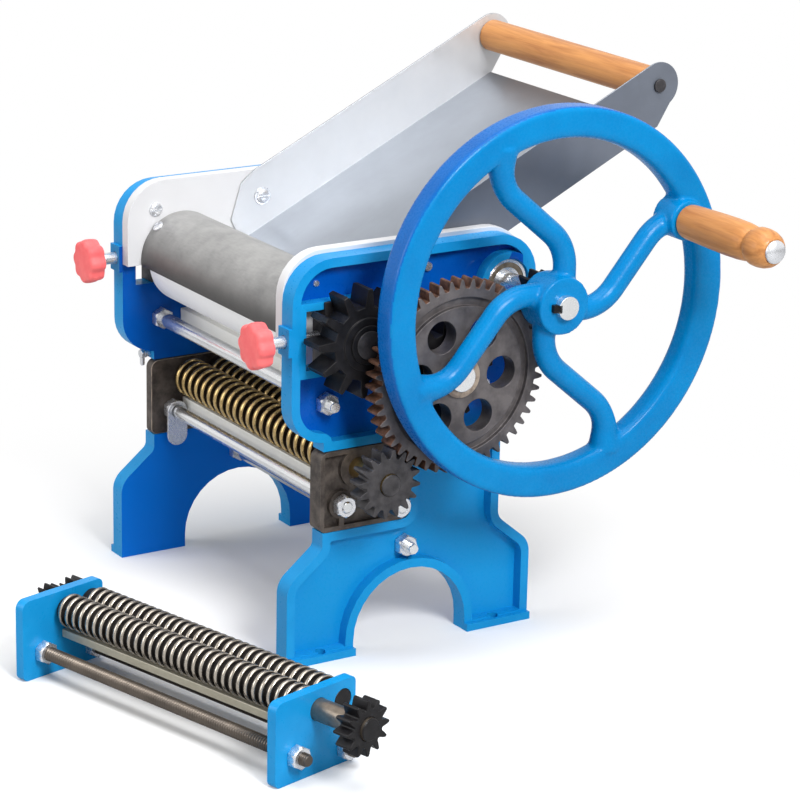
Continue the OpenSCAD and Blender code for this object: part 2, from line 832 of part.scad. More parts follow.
// One spoke from the hub to the rim, in the plane of the wheel. The bends are a little thinner than the
// straights.
module spoke() {
    bend_d = spoke_d - 0.6;
    bend_x = spoke_bend * sin(spoke_swing);
    bend_y = spoke_bend * (1 - cos(spoke_swing));
    mid = [spoke_start + bend_x, spoke_low + bend_y];
    end_x = mid.x + spoke_straight * cos(spoke_swing) + bend_x;
    reach = sqrt(pow(wheel_bore_r + wheel_rim_w / 3, 2) - pow(spoke_high, 2));
    translate([0, spoke_low, 0]) rotate([0, 90, 0]) cylinder(d = spoke_d, h = spoke_start);
    translate([spoke_start, spoke_low + spoke_bend, 0]) rotate([0, 0, -90])
        rotate_extrude(angle = spoke_swing) translate([spoke_bend, 0]) circle(d = bend_d);
    translate([mid.x, mid.y, 0]) rotate([0, 90, spoke_swing]) cylinder(d = spoke_d, h = spoke_straight);
    translate([end_x, spoke_high - spoke_bend, 0]) rotate([0, 0, 90])
        rotate_extrude(angle = spoke_swing) translate([spoke_bend, 0]) circle(d = bend_d);
    translate([end_x, spoke_high, 0]) rotate([0, 90, 0]) cylinder(d = spoke_d, h = reach - end_x);
}

wheel_round = 3;
rim_corners = [
    [wheel_bore_r, -wheel_rim_t / 2, wheel_round],
    [wheel_r, -wheel_rim_t / 2, wheel_round],
    [wheel_r, wheel_rim_t / 2, wheel_round],
    [wheel_bore_r, wheel_rim_t / 2, wheel_round]
];

module flywheel() {
    color(paint_blue) translate([wheel_x, crank_y, crank_z]) rotate([90, 0, 90]) difference() {
        union() {
            rotate_extrude($fn = 128) polygon(rounded(rim_corners));
            for (i = [0:spoke_n - 1])
                rotate([0, 0, i * 360 / spoke_n]) spoke();
            translate([0, 0, hub_back - wheel_x]) cylinder(d = hub_d, h = hub_front - hub_back);
            translate([boss_at.x, boss_at.y, -spoke_d / 2])
                cylinder(r = boss_r, h = boss_front - wheel_x + spoke_d / 2);
        }
        translate([0, 0, hub_back - wheel_x - 1])
            cylinder(d = crank_d + 2 * fix_gap, h = hub_front - hub_back + 2);
        translate([-crank_d / 2 - 2.5 - fix_gap, -key_w / 2, hub_back - wheel_x - 1])
            cube([crank_d / 2, key_w, hub_front - hub_back + 2]);
        translate([boss_at.x, boss_at.y, -spoke_d])
            cylinder(d = bolt_d + 2 * fix_gap, h = boss_front - wheel_x + 2 * spoke_d);
    }
}

module crank_pinion() {
    bore = crank_d + 2 * fix_gap;
    color(black_iron) drive_gear(pinion_teeth, pinion_phase, drive_x, drive_w + 1, bore, crank_y, crank_z);
}

bolt_y = crank_y + boss_at.x;
bolt_z = crank_z + boss_at.y;
grip_x0 = boss_front + slide_gap;
grip_x1 = grip_x0 + grip_l;

module handle_bolt() {
    color(zinc) union() {
        bar_x(wheel_x - spoke_d / 2, grip_x1 + slide_gap, bolt_d, bolt_y, bolt_z);
        translate([grip_x1 + slide_gap, bolt_y, bolt_z]) rotate([0, 90, 0])
            cylinder(d1 = bolt_d + 5, d2 = bolt_d - 2, h = 4);
    }
}

module handle_grip() {
    r = grip_d / 2;
    bore_r = bolt_d / 2 + run_gap;
    bead = grip_l - 18;
    profile = [
        [bore_r, 0],
        [r - 2, 0],
        [r - 1.2, 3],
        [r - 0.3, grip_l * 0.45],
        [r - 0.6, bead - 3],
        [r - 2, bead],
        [r - 0.4, bead + 3],
        [r, bead + 8],
        [r - 0.8, bead + 13],
        [r - 3, grip_l],
        [bore_r, grip_l]
    ];
    color(wood) translate([grip_x0, bolt_y, bolt_z]) rotate([0, 90, 0]) rotate_extrude() polygon(profile);
}

// Tray with its wooden roller

// Draws its children in the tray's own frame: y runs up the slope, z away from the floor
module on_tray() {
    translate([0, tray_y, tray_z]) rotate([tray_slope, 0, 0]) children();
}

wall_end_r = dowel_d / 2 + 4.5;
wall_tip = -6;
floor_from = 0.5;
wall_corners = [
    [floor_from, -sheet_t, 0],
    [tray_l, -sheet_t, 0],
    [dowel_at.x + wall_end_r * 0.8, dowel_at.y - wall_end_r * 0.6, 0],
    [dowel_at.x, dowel_at.y, 0],
    [dowel_at.x, tray_h, 0],
    [26, tray_h, 6],
    [12, tray_h - 3, 4],
    [wall_tip, 17, 3],
    [wall_tip, 9, 3]
];

module tray() {
    color(bright_steel) on_tray() difference() {
        union() {
            translate([-tray_x, floor_from, -sheet_t]) cube([2 * tray_x, tray_l - floor_from, sheet_t]);
            both_sides() {
                across(tray_x - sheet_t, sheet_t) polygon(rounded(wall_corners));
                bar_x(tray_x - sheet_t, tray_x, 2 * wall_end_r, dowel_at.x, dowel_at.y);
            }
        }
        bar_x(-tray_x - 1, tray_x + 1, tray_screw_d + 2 * run_gap, tray_pivot.x, tray_pivot.y);
        bar_x(-tray_x - 1, tray_x + 1, dowel_pin_d + 2 * fix_gap, dowel_at.x, dowel_at.y);
    }
}

module tray_roller_pin() {
    color(bright_steel) on_tray() union() {
        bar_x(-tray_x - 2, tray_x + 2, dowel_pin_d, dowel_at.x, dowel_at.y);
        both_sides() bar_x(tray_x, tray_x + 2, dowel_pin_d + 3, dowel_at.x, dowel_at.y);
    }
}

module tray_roller() {
    half = tray_x - sheet_t - 2 * slide_gap;
    color(wood) on_tray() difference() {
        bar_x(-half, half, dowel_d, dowel_at.x, dowel_at.y);
        bar_x(-half - 1, half + 1, dowel_pin_d + 2 * run_gap, dowel_at.x, dowel_at.y);
    }
}

// Cutter heads

cutter_rod_d = 9;
pair_gap = 0.5;
ring_gap = 0.4;
gear_end_w = 10;
pair_teeth = 12;
pair_phase = mesh_phase(pair_teeth, 0, pair_teeth, 0);
cutter_step = 2 * ring_r - ring_depth + pair_gap;
fine_step = 2 * fine_ring_r - fine_ring_depth + pair_gap;
fine_ang = 236;
fine_reach = drive_mod * (large_teeth + fine_teeth) / 2 + mesh_gap;
fine_y = rear_y + fine_reach * cos(fine_ang);
fine_z = rear_z + fine_reach * sin(fine_ang);
front_bolt = [plate_y0 + 15.8, plate_z0 + 17];
rear_bolt = [plate_y1 - 9, plate_z0 + 10];
rods = [front_bolt, rear_bolt];

// One end plate with the bores for two rollers and two rods
module cutter_plate(thick, y, z, step) {
    corners = [
        [plate_y1, plate_z0, 6],
        [plate_y1, plate_z1, 4],
        [plate_y0, plate_z1, 6],
        [plate_y0, plate_z0, 4]
    ];
    difference() {
        across(in_x, thick) polygon(rounded(corners));
        for (at = [y, y + step])
            bar_x(in_x - 1, in_x + thick + 1, cutter_journal_d + 2 * run_gap, at, z);
        for (p = rods)
            bar_x(in_x - 1, in_x + thick + 1, rod_thread_d + 0.4, p.x, p.y);
    }
}

// Pockets cast into the outer face of the right end plate: one along the bottom and one up the front, with
// bosses round the rods and the front journal, and a rib under the front rod
module plate_pockets() {
    depth = 3.4;
    rim = 3;
    rib_w = 3.4;
    boss_d = nut_af + 5.3;
    journal_boss_d = cutter_journal_d + 11.7;
    low = [plate_y0 + rim, plate_z0 + rim];
    low_h = cut_z - 9.2 - low.y;
    front_l = cut_y - 6.8 - low.x;
    difference() {
        union() {
            translate([rim_x - depth, low.x, low.y]) cube([depth + 1, plate_y1 - rim - low.x, low_h]);
            translate([rim_x - depth, low.x, low.y]) cube([depth + 1, front_l, plate_z1 - rim - low.y]);
        }
        for (p = rods)
            bar_x(in_x, rim_x + 2, boss_d, p.x, p.y);
        bar_x(in_x, rim_x + 2, journal_boss_d, cut_y, cut_z);
        translate([in_x, front_bolt.x - rib_w / 2, plate_z0])
            cube([frame_t + 2, rib_w, front_bolt.y - plate_z0]);
    }
}

// A ringed cutter roller along X, with the rings moved by shift
module ringed_roller(r, depth, pitch, shift, y, z, left, right) {
    half = cutter_face_l / 2;
    ring_w = pitch / 2 - ring_gap;
    count = floor((cutter_face_l - pitch) / pitch);
    union() {
        bar_x(-half, half, 2 * (r - depth), y, z);
        bar_x(left, right, cutter_journal_d, y, z);
        for (i = [0:count - 1])
            let (x = (i - (count - 1) / 2) * pitch + shift)
                bar_x(x - ring_w / 2, x + ring_w / 2, 2 * r, y, z);
    }
}

// End gear on the left side that turns the second roller of a cutter
module end_gear(x0, step, phase, y, z) {
    difference() {
        translate([0, y, z]) across(x0, gear_end_w)
            gear_outline(pair_teeth, step / pair_teeth, phase, 1.25, 0.95, 1.7, 1.25, 0.65);
        bar_x(x0 - 1, x0 + gear_end_w + 1, cutter_journal_d + 2 * fix_gap, y, z);
    }
}

// Comb bar under the rollers, between the end plates
comb_w = 6.6;
comb_h = 5.3;
comb_drop = 1.8;

module comb(y, z, r) {
    translate([-in_x, y - comb_w / 2 - 0.2, z - r - comb_drop - comb_h]) cube([inside_w, comb_w, comb_h]);
}

// The two rods of a head between nuts, with the outer faces of its plates at left and right
module cutter_rods(left, right) {
    past = nut_t + 5;
    for (p = rods) {
        bar_x(-left - past, right + past, rod_thread_d, p.x, p.y);
        bar_x(-in_x + nut_t, in_x - nut_t, cutter_rod_d, p.x, p.y);
    }
}

module cutter_rod_nuts(left, right) {
    bore = rod_thread_d + 2 * fix_gap;
    for (p = rods, x = [-left - nut_t, -in_x, in_x - nut_t, right])
        nut_x(x, x + nut_t, nut_af, bore, p.x, p.y);
}

// Mounted cutter head

left_outer = in_x + left_plate_t;
pair_x = -rim_x - 3 - gear_end_w;

module cutter_right_plate() {
    color(cast_dark) difference() {
        cutter_plate(frame_t, cut_y, cut_z, cutter_step);
        plate_pockets();
    }
}

module cutter_left_plate() {
    color(cast_dark) mirror([1, 0, 0]) cutter_plate(left_plate_t, cut_y, cut_z, cutter_step);
}

module cutter_comb() {
    color(white_plastic) comb(cut_y, cut_z, ring_r);
}

module cutter_tie_rods() {
    color(bright_steel) cutter_rods(left_outer, rim_x - 4);
}

module cutter_nuts() {
    color(zinc) cutter_rod_nuts(left_outer, rim_x);
}

tab_t = 2;

module cutter_tab() {
    w = 15;
    drop = 17;
    x0 = -in_x + nut_t;
    color(zinc) difference() {
        translate([x0, front_bolt.x, front_bolt.y]) rotate([0, 90, 0]) union() {
            cylinder(d = w, h = tab_t);
            translate([0, -w / 2, 0]) cube([drop, w, tab_t]);
            translate([drop, 0, 0]) cylinder(d = w, h = tab_t);
        }
        bar_x(x0 - 1, x0 + tab_t + 1, cutter_rod_d + 2 * fix_gap, front_bolt.x, front_bolt.y);
    }
}

module cutter_front_roller() {
    color(bronze) ringed_roller(ring_r, ring_depth, ring_pitch, 0, cut_y, cut_z, pair_x, drive_end + 2);
}

module cutter_rear_roller() {
    shift = ring_pitch / 2;
    color(bronze)
        ringed_roller(ring_r, ring_depth, ring_pitch, shift, cut_y + cutter_step, cut_z, pair_x, rim_x);
}

module cutter_drive_gear() {
    bore = cutter_journal_d + 2 * fix_gap;
    color(cast_dark) drive_gear(cutter_teeth, cutter_phase, drive_x, drive_w, bore, cut_y, cut_z);
}

module cutter_front_gear() {
    color(black_iron) end_gear(pair_x, cutter_step, 0, cut_y, cut_z);
}

module cutter_rear_gear() {
    color(black_iron) end_gear(pair_x, cutter_step, pair_phase, cut_y + cutter_step, cut_z);
}

// Spare cutter head, which stands on the table in front of the machine

fine_outer = in_x + fine_plate_t;
fine_pair_x = -fine_outer - 3 - gear_end_w;
fine_shaft_end = fine_outer + 42;
plate_mid = (plate_y0 + plate_y1) / 2;

// Moves a piece from the notch to the spare head's place on the table
module on_table() {
    translate([spare_x, spare_y, -plate_z0]) rotate([0, 0, spare_turn]) translate([0, -plate_mid, 0])
        children();
}

module spare_right_plate() {
    color(paint_blue) on_table() cutter_plate(fine_plate_t, fine_y, fine_z, fine_step);
}

module spare_left_plate() {
    color(paint_blue) on_table() mirror([1, 0, 0]) cutter_plate(fine_plate_t, fine_y, fine_z, fine_step);
}

module spare_comb() {
    color(bronze) on_table() comb(fine_y, fine_z, fine_ring_r);
}

module spare_tie_rods() {
    color(cast_dark) on_table() cutter_rods(fine_outer, fine_outer);
}

module spare_nuts() {
    color(zinc) on_table() cutter_rod_nuts(fine_outer, fine_outer);
}

// A ringed roller of the spare head, from its end gear to a place on the right
module fine_roller(shift, y, right) {
    ringed_roller(fine_ring_r, fine_ring_depth, fine_ring_pitch, shift, y, fine_z, fine_pair_x, right);
}

module spare_front_roller() {
    color(bright_steel) on_table() fine_roller(0, fine_y, fine_shaft_end);
}

module spare_rear_roller() {
    color(bright_steel) on_table() fine_roller(fine_ring_pitch / 2, fine_y + fine_step, fine_outer);
}

module spare_drive_gear() {
    x0 = fine_shaft_end - drive_w - 2;
    color(black_iron) on_table()
        drive_gear(fine_teeth, 0, x0, drive_w, cutter_journal_d + 2 * fix_gap, fine_y, fine_z);
}

module spare_front_gear() {
    color(black_iron) on_table() end_gear(fine_pair_x, fine_step, 0, fine_y, fine_z);
}

module spare_rear_gear() {
    color(black_iron) on_table()
        end_gear(fine_pair_x, fine_step, pair_phase, fine_y + fine_step, fine_z);
}

right_side_frame();
left_side_frame();
right_cheek();
left_cheek();
cheek_screws();
lower_tie_rod();
upper_tie_rod();
rear_tie_rod();
tie_rod_nuts();
roller_scrapers();
crank_bearings();
roller_bushes();
cutter_latch();
latch_screw();
tray_screws();
right_bearing_block();
left_bearing_block();
roller_guard();
guard_screws();
right_adjust_screw();
right_knob();
left_adjust_screw();
left_knob();
front_roller();
front_roller_gear();
front_gear_clip();
rear_roller();
rear_roller_gear();
large_drive_gear();
drive_gear_ring();
crank_shaft();
flywheel();
flywheel_key();
crank_pinion();
handle_bolt();
handle_grip();
tray();
tray_roller_pin();
tray_roller();
cutter_right_plate();
cutter_left_plate();
cutter_comb();
cutter_tie_rods();
cutter_nuts();
cutter_tab();
cutter_front_roller();
cutter_drive_gear();
cutter_front_gear();
cutter_rear_roller();
cutter_rear_gear();
spare_right_plate();
spare_left_plate();
spare_comb();
spare_tie_rods();
spare_nuts();
spare_front_roller();
spare_drive_gear();
spare_front_gear();
spare_rear_roller();
spare_rear_gear();
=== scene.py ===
"""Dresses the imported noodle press: castings, ringed cutters, threads, turned wood and a plain studio."""

import json
import logging
import math
from dataclasses import dataclass, replace
from enum import Enum
from typing import Callable, Sequence

import bmesh
import bpy
from mathutils import Matrix, Vector


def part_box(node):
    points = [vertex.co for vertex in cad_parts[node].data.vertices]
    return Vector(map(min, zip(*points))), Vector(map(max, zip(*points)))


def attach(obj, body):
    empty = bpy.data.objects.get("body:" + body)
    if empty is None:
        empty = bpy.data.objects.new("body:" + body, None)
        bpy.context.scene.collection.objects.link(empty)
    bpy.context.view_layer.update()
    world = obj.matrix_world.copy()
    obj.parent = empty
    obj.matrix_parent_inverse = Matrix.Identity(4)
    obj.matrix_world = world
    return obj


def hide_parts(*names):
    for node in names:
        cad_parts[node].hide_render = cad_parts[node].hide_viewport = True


LOG = logging.getLogger("noodle_press")
Colour = tuple[float, float, float]
Point = tuple[float, float, float]
Profile = Sequence[tuple[float, float]]
Piece = bpy.types.Object
Face = bpy.types.MeshPolygon
Node = bpy.types.Node
Socket = bpy.types.NodeSocket

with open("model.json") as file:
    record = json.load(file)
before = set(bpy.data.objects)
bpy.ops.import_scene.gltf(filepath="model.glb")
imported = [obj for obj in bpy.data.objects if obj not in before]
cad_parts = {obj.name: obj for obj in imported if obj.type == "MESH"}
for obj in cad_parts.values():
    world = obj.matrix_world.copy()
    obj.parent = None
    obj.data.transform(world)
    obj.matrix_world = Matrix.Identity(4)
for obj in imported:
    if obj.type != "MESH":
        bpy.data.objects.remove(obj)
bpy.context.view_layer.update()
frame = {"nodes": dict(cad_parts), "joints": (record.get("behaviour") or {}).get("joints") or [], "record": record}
JOINTS: dict[str, dict] = {joint["name"]: joint for joint in frame["joints"]}
BODY_OF: dict[str, str] = {
    node: body for body, nodes in frame["record"]["behaviour"]["bodies"].items() for node in nodes
}
SLOT_OF: dict[str, str] = {part["node"]: part["material_slot"] for part in frame["record"]["subparts"]}

# Metres in a millimetre, and how near two points of a CAD mesh are one, in metres
MM = 0.001
MERGE = 3e-6

# Faces of a CAD node's copy that meet within this angle are joined, in degrees
FLAT_ANGLE = 0.6

# Edges past the first angle are shaded sharp, and edges past the second are broken
SHARP_ANGLE = 36.0
BROKEN_ANGLE = 38.0

# The radius that closes a turned end, in millimetres
THIN = 0.1

# How much of a profile's side one round may take
ROUND_ROOM = 0.49

# Places of the colour sockets on a Mix node: share, first and second colour, and the result
MIX_INPUTS = (0, 6, 7)
MIX_RESULT = 2


def rgb(red: int, green: int, blue: int) -> Colour:
    """Turns a display colour of 0 to 255 into the linear colour that shaders use."""
    shares = (red / 255, green / 255, blue / 255)
    return tuple(v / 12.92 if v <= 0.04045 else ((v + 0.055) / 1.055) ** 2.4 for v in shares)


def pivot(joint: str) -> Vector:
    """The point on a joint's axis, in metres."""
    return Vector(JOINTS[joint]["pos_m"])


def hub(joint: str) -> Point:
    """The point on a joint's axis in the middle plane of the machine, in metres."""
    at = pivot(joint)
    return (0, at.y, at.z)


# Node trees


class Graph:
    """A small helper that adds nodes to a tree, sets their inputs and joins them."""

    def __init__(self, tree: bpy.types.NodeTree) -> None:
        """Keeps the tree that the nodes go into."""
        self.tree = tree

    def put(self, node: Node, name: str | int, value: object) -> None:
        """Sets an input, or joins it to an output socket.

        Args:
            node: the node whose input is set.
            name: the socket's name or number.
            value: a plain value or an output socket.
        """
        target = node.inputs[name]
        if isinstance(value, Socket):
            self.tree.links.new(value, target)
        else:
            target.default_value = value

    def add(self, kind: str, settings: dict | None = None, **inputs: object) -> Node:
        """Adds one node.

        Args:
            kind: Blender's name for the node.
            settings: attributes of the node itself.
            inputs: values or output sockets, by socket name with underscores for spaces.

        Returns:
            The new node.
        """
        made = self.tree.nodes.new(kind)
        for key, value in (settings or {}).items():
            setattr(made, key, value)
        for key, value in inputs.items():
            self.put(made, key.replace("_", " "), value)
        return made

    def listed(self, kind: str, settings: dict, *values: object) -> Node:
        """Adds one node and sets its inputs in their order.

        Args:
            kind: Blender's name for the node.
            settings: attributes of the node itself.
            values: values or output sockets, from the first input on.

        Returns:
            The new node.
        """
        made = self.add(kind, settings)
        for place, value in enumerate(values):
            self.put(made, place, value)
        return made

    def mixed(self, share: object, first: object, second: object) -> Socket:
        """Mixes two colours.

        Args:
            share: 0 for the first colour to 1 for the second.
            first: a colour or its socket.
            second: a colour or its socket.

        Returns:
            The socket of the mixed colour.
        """
        made = self.add("ShaderNodeMix", {"data_type": "RGBA"})
        for place, value in zip(MIX_INPUTS, (share, first, second)):
            self.put(made, place, value)
        return made.outputs[MIX_RESULT]

    def spread(self, value: Socket, low: object, high: object, span: tuple[float, float]) -> Socket:
        """Maps a value that runs over a span to another range.

        Args:
            value: the socket that is read.
            low: the result at the start of the span.
            high: the result at its end.
            span: start and end.

        Returns:
            The socket of the mapped value.
        """
        return self.add("ShaderNodeMapRange", Value=value, From_Min=span[0], From_Max=span[1], To_Min=low,
                        To_Max=high).outputs["Result"]


def emptied(owner: bpy.types.Material | bpy.types.World) -> Graph:
    """Empties the nodes of a material or a world.

    Args:
        owner: the material or the world.

    Returns:
        The graph of its tree.
    """
    owner.use_nodes = True
    owner.node_tree.nodes.clear()
    return Graph(owner.node_tree)


def new_group(name: str, kind: str, inputs: Sequence[tuple],
              outputs: Sequence[tuple]) -> tuple[Graph, Node, Node]:
    """Starts a node group with named sockets.

    Args:
        name: the group's name.
        kind: ShaderNodeTree or GeometryNodeTree.
        inputs: (name, socket type, default) for each input.
        outputs: (name, socket type) for each output.

    Returns:
        The group's graph, its input node and its output node.
    """
    tree = bpy.data.node_groups.new(name, kind)
    for label, socket, default in inputs:
        made = tree.interface.new_socket(name=label, in_out="INPUT", socket_type=socket)
        if default is not None:
            made.default_value = default
    for label, socket in outputs:
        tree.interface.new_socket(name=label, in_out="OUTPUT", socket_type=socket)
    graph = Graph(tree)
    return graph, graph.add("NodeGroupInput"), graph.add("NodeGroupOutput")


class Skin(Enum):
    """The surface kinds that the finishes choose from, each the name of its shader group."""

    CAST = "cast_skin"
    DRAWN = "drawn_skin"
    TIMBER = "timber_skin"


SKIN_INPUTS = (
    ("Light", "NodeSocketColor", (0.8, 0.8, 0.8, 1.0)),
    ("Dark", "NodeSocketColor", (0.4, 0.4, 0.4, 1.0)),
    ("Patch", "NodeSocketFloat", 60.0),
    ("Grain", "NodeSocketFloat", 600.0),
    ("Stretch", "NodeSocketVector", (1.0, 1.0, 1.0)),
    ("Rough Low", "NodeSocketFloat", 0.3),
    ("Rough High", "NodeSocketFloat", 0.5),
)
SKIN_OUTPUTS = (
    ("Colour", "NodeSocketColor"),
    ("Roughness", "NodeSocketFloat"),
    ("Height", "NodeSocketFloat"),
)


def new_skin(skin: Skin) -> tuple[Graph, Node, Node, Socket]:
    """Starts the shader group of a skin.

    Args:
        skin: the surface kind.

    Returns:
        The group's graph, its input node, its output node and the place on the object.
    """
    graph, given, out = new_group(skin.value, "ShaderNodeTree", SKIN_INPUTS, SKIN_OUTPUTS)
    return graph, given, out, graph.add("ShaderNodeTexCoord").outputs["Object"]


def end_skin(g: Graph, given: Node, out: Node, share: Socket, detail: Socket,
             span: tuple[float, float]) -> None:
    """Joins a skin's mask and its fine pattern to the outputs.

    Args:
        g: the group's graph.
        given: its input node.
        out: its output node.
        share: where the light colour shows, from 0 to 1.
        detail: the fine pattern, which gives height and roughness.
        span: the values of the pattern at the low and at the high roughness.
    """
    g.put(out, "Colour", g.mixed(share, given.outputs["Dark"], given.outputs["Light"]))
    g.put(out, "Roughness", g.spread(detail, given.outputs["Rough Low"], given.outputs["Rough High"], span))
    g.put(out, "Height", detail)


def cast_skin() -> None:
    """Builds the group for castings and mouldings: broad patches of colour over a fine pebbled grain."""
    g, given, out, at = new_skin(Skin.CAST)
    patch = g.add("ShaderNodeTexNoise", Vector=at, Scale=given.outputs["Patch"], Detail=3.0, Roughness=0.6)
    grain = g.add("ShaderNodeTexNoise", Vector=at, Scale=given.outputs["Grain"], Detail=2.0, Roughness=0.55)
    share = g.spread(patch.outputs["Fac"], 0.0, 1.0, (0.35, 0.65))
    end_skin(g, given, out, share, grain.outputs["Fac"], (0.3, 0.7))


def drawn_skin() -> None:
    """Builds the group for drawn, turned and ground metal: fine lines one way, with soft stains."""
    g, given, out, at = new_skin(Skin.DRAWN)
    lined = g.listed("ShaderNodeVectorMath", {"operation": "MULTIPLY"}, at, given.outputs["Stretch"])
    lines = g.add("ShaderNodeTexNoise", Vector=lined.outputs["Vector"], Scale=given.outputs["Grain"],
                  Detail=4.0)
    stain = g.add("ShaderNodeTexNoise", Vector=at, Scale=given.outputs["Patch"], Detail=4.0, Roughness=0.65)
    stained = g.spread(stain.outputs["Fac"], 0.0, 0.5, (0.3, 0.7))
    share = g.listed("ShaderNodeMath", {"operation": "MULTIPLY_ADD"}, lines.outputs["Fac"], 0.5, stained)
    end_skin(g, given, out, share.outputs["Value"], lines.outputs["Fac"], (0.25, 0.75))


def timber_skin() -> None:
    """Builds the group for turned wood: growth lines drawn out along the grain, with pores between them."""
    g, given, out, at = new_skin(Skin.TIMBER)
    along = g.listed("ShaderNodeVectorMath", {"operation": "MULTIPLY"}, at, given.outputs["Stretch"])
    drawn = along.outputs["Vector"]
    rings = g.add("ShaderNodeTexNoise", Vector=drawn, Scale=given.outputs["Patch"], Detail=3.0,
                  Distortion=0.6)
    pores = g.add("ShaderNodeTexNoise", Vector=drawn, Scale=given.outputs["Grain"], Detail=2.0)
    grown = g.spread(rings.outputs["Fac"], 0.0, 0.65, (0.32, 0.66))
    share = g.listed("ShaderNodeMath", {"operation": "MULTIPLY_ADD"}, pores.outputs["Fac"], 0.35, grown)
    end_skin(g, given, out, share.outputs["Value"], pores.outputs["Fac"], (0.7, 0.3))


def height_blend() -> None:
    """Builds the group that passes from one colour to another with the height above the floor, used to paint shade
    by height.
    """
    g, given, out = new_group("height_blend", "ShaderNodeTree", (
        ("Low", "NodeSocketColor", (0.5, 0.5, 0.5, 1.0)),
        ("High", "NodeSocketColor", (0.5, 0.5, 0.5, 1.0)),
        ("From", "NodeSocketFloat", 0.0),
        ("To", "NodeSocketFloat", 1.0),
    ), (("Colour", "NodeSocketColor"),))
    at = g.add("ShaderNodeSeparateXYZ", Vector=g.add("ShaderNodeTexCoord").outputs["Object"])
    share = g.add("ShaderNodeMapRange", {"interpolation_type": "SMOOTHSTEP"}, Value=at.outputs["Z"],
                  From_Min=given.outputs["From"], From_Max=given.outputs["To"])
    g.put(out, "Colour", g.mixed(share.outputs["Result"], given.outputs["Low"], given.outputs["High"]))


# Finishes


@dataclass(frozen=True)
class Finish:
    """One finish of the press: colours, gloss and the size of its surface detail.

    Where below is given, the colour passes to it under the heights of blend_mm, which paints shade that changes
    with height.
    """

    name: str
    skin: Skin
    light: Colour
    dark: Colour
    metallic: float = 0.0
    rough: tuple[float, float] = (0.35, 0.5)
    patch_mm: float = 20.0
    grain_mm: float = 1.5
    bump: float = 0.15
    bump_mm: float = 0.1
    stretch: tuple[float, float, float] = (1.0, 1.0, 1.0)
    coat: float = 0.0
    coat_rough: float = 0.12
    specular: float = 0.5
    below: Colour | None = None
    blend_mm: tuple[float, float] = (122.0, 158.0)

    def variant(self, name: str, light: Colour, dark: Colour, **changes: object) -> "Finish":
        """Makes a finish of the same kind.

        Args:
            name: the new finish's name.
            light: its light colour.
            dark: its dark colour.
            changes: other fields that differ.

        Returns:
            The new finish.
        """
        return replace(self, name=name, light=light, dark=dark, **changes)

    def material(self) -> bpy.types.Material:
        """Gives the material of this finish, made the first time it is asked for.

        Returns:
            The material.
        """
        title = "finish_" + self.name
        found = bpy.data.materials.get(title)
        if found:
            return found
        made = bpy.data.materials.new(title)
        made.diffuse_color = (*self.light, 1.0)
        self.wire(emptied(made))
        return made

    def wire(self, graph: Graph) -> None:
        """Joins the skin, the bump and the shader of this finish.

        Args:
            graph: the graph of the material.
        """
        skin = graph.add("ShaderNodeGroup", {"node_tree": bpy.data.node_groups[self.skin.value]},
                         Light=(*self.light, 1.0), Dark=(*self.dark, 1.0), Patch=1 / (self.patch_mm * MM),
                         Grain=1 / (self.grain_mm * MM), Stretch=self.stretch, Rough_Low=self.rough[0],
                         Rough_High=self.rough[1])
        bump = graph.add("ShaderNodeBump", Strength=self.bump, Distance=self.bump_mm * MM,
                         Height=skin.outputs["Height"])
        colour = skin.outputs["Colour"]
        # Painted shade: the colour passes to the below colour with height
        if self.below:
            blend = graph.add("ShaderNodeGroup", {"node_tree": bpy.data.node_groups["height_blend"]},
                              High=colour, Low=(*self.below, 1.0), From=self.blend_mm[0] * MM,
                              To=self.blend_mm[1] * MM)
            colour = blend.outputs["Colour"]
        shader = graph.add("ShaderNodeBsdfPrincipled", Base_Color=colour, Metallic=self.metallic,
                           Roughness=skin.outputs["Roughness"], Normal=bump.outputs["Normal"],
                           Coat_Weight=self.coat, Coat_Roughness=self.coat_rough,
                           Specular_IOR_Level=self.specular)
        graph.add("ShaderNodeOutputMaterial", Surface=shader.outputs["BSDF"])


# Blue paint, with painted shade on the frames' inner faces, recessed webs and the wheel's rim edge
BLUE = Finish("blue_enamel", Skin.CAST, rgb(26, 151, 216), rgb(14, 140, 206), rough=(0.26, 0.4), patch_mm=45,
              grain_mm=2.2, bump=0.22, bump_mm=0.25, coat=0.06, specular=0.15)
# Painted shade: a darker blue for the frames' inner faces, lighter again below the blend heights
INSIDE_SHADE = BLUE.variant("deep_enamel", rgb(0, 88, 180), rgb(0, 76, 166), rough=(0.28, 0.42), patch_mm=50,
                    specular=0.1, below=rgb(0, 117, 223), blend_mm=(96.0, 150.0))
# Painted shade: a darker blue for the recessed webs, passing to the plain blue low on the legs
RECESS_SHADE = INSIDE_SHADE.variant("recess_enamel", rgb(0, 92, 188), rgb(0, 76, 170), rough=(0.24, 0.38),
                      below=rgb(20, 146, 211), blend_mm=(122.0, 158.0))
BLUE_WHEEL = BLUE.variant("blue_casting", rgb(0, 130, 194), rgb(0, 120, 184), rough=(0.2, 0.34), patch_mm=40,
                          grain_mm=1.7, bump=0.4, bump_mm=0.3, specular=0.13)
# Painted shade: a darker blue on the outer edge of the wheel's rim
WHEEL_EDGE_SHADE = BLUE_WHEEL.variant("blue_wheel_edge", rgb(0, 102, 182), rgb(0, 92, 170), rough=(0.22, 0.36),
                                coat=0.1, specular=0.15)

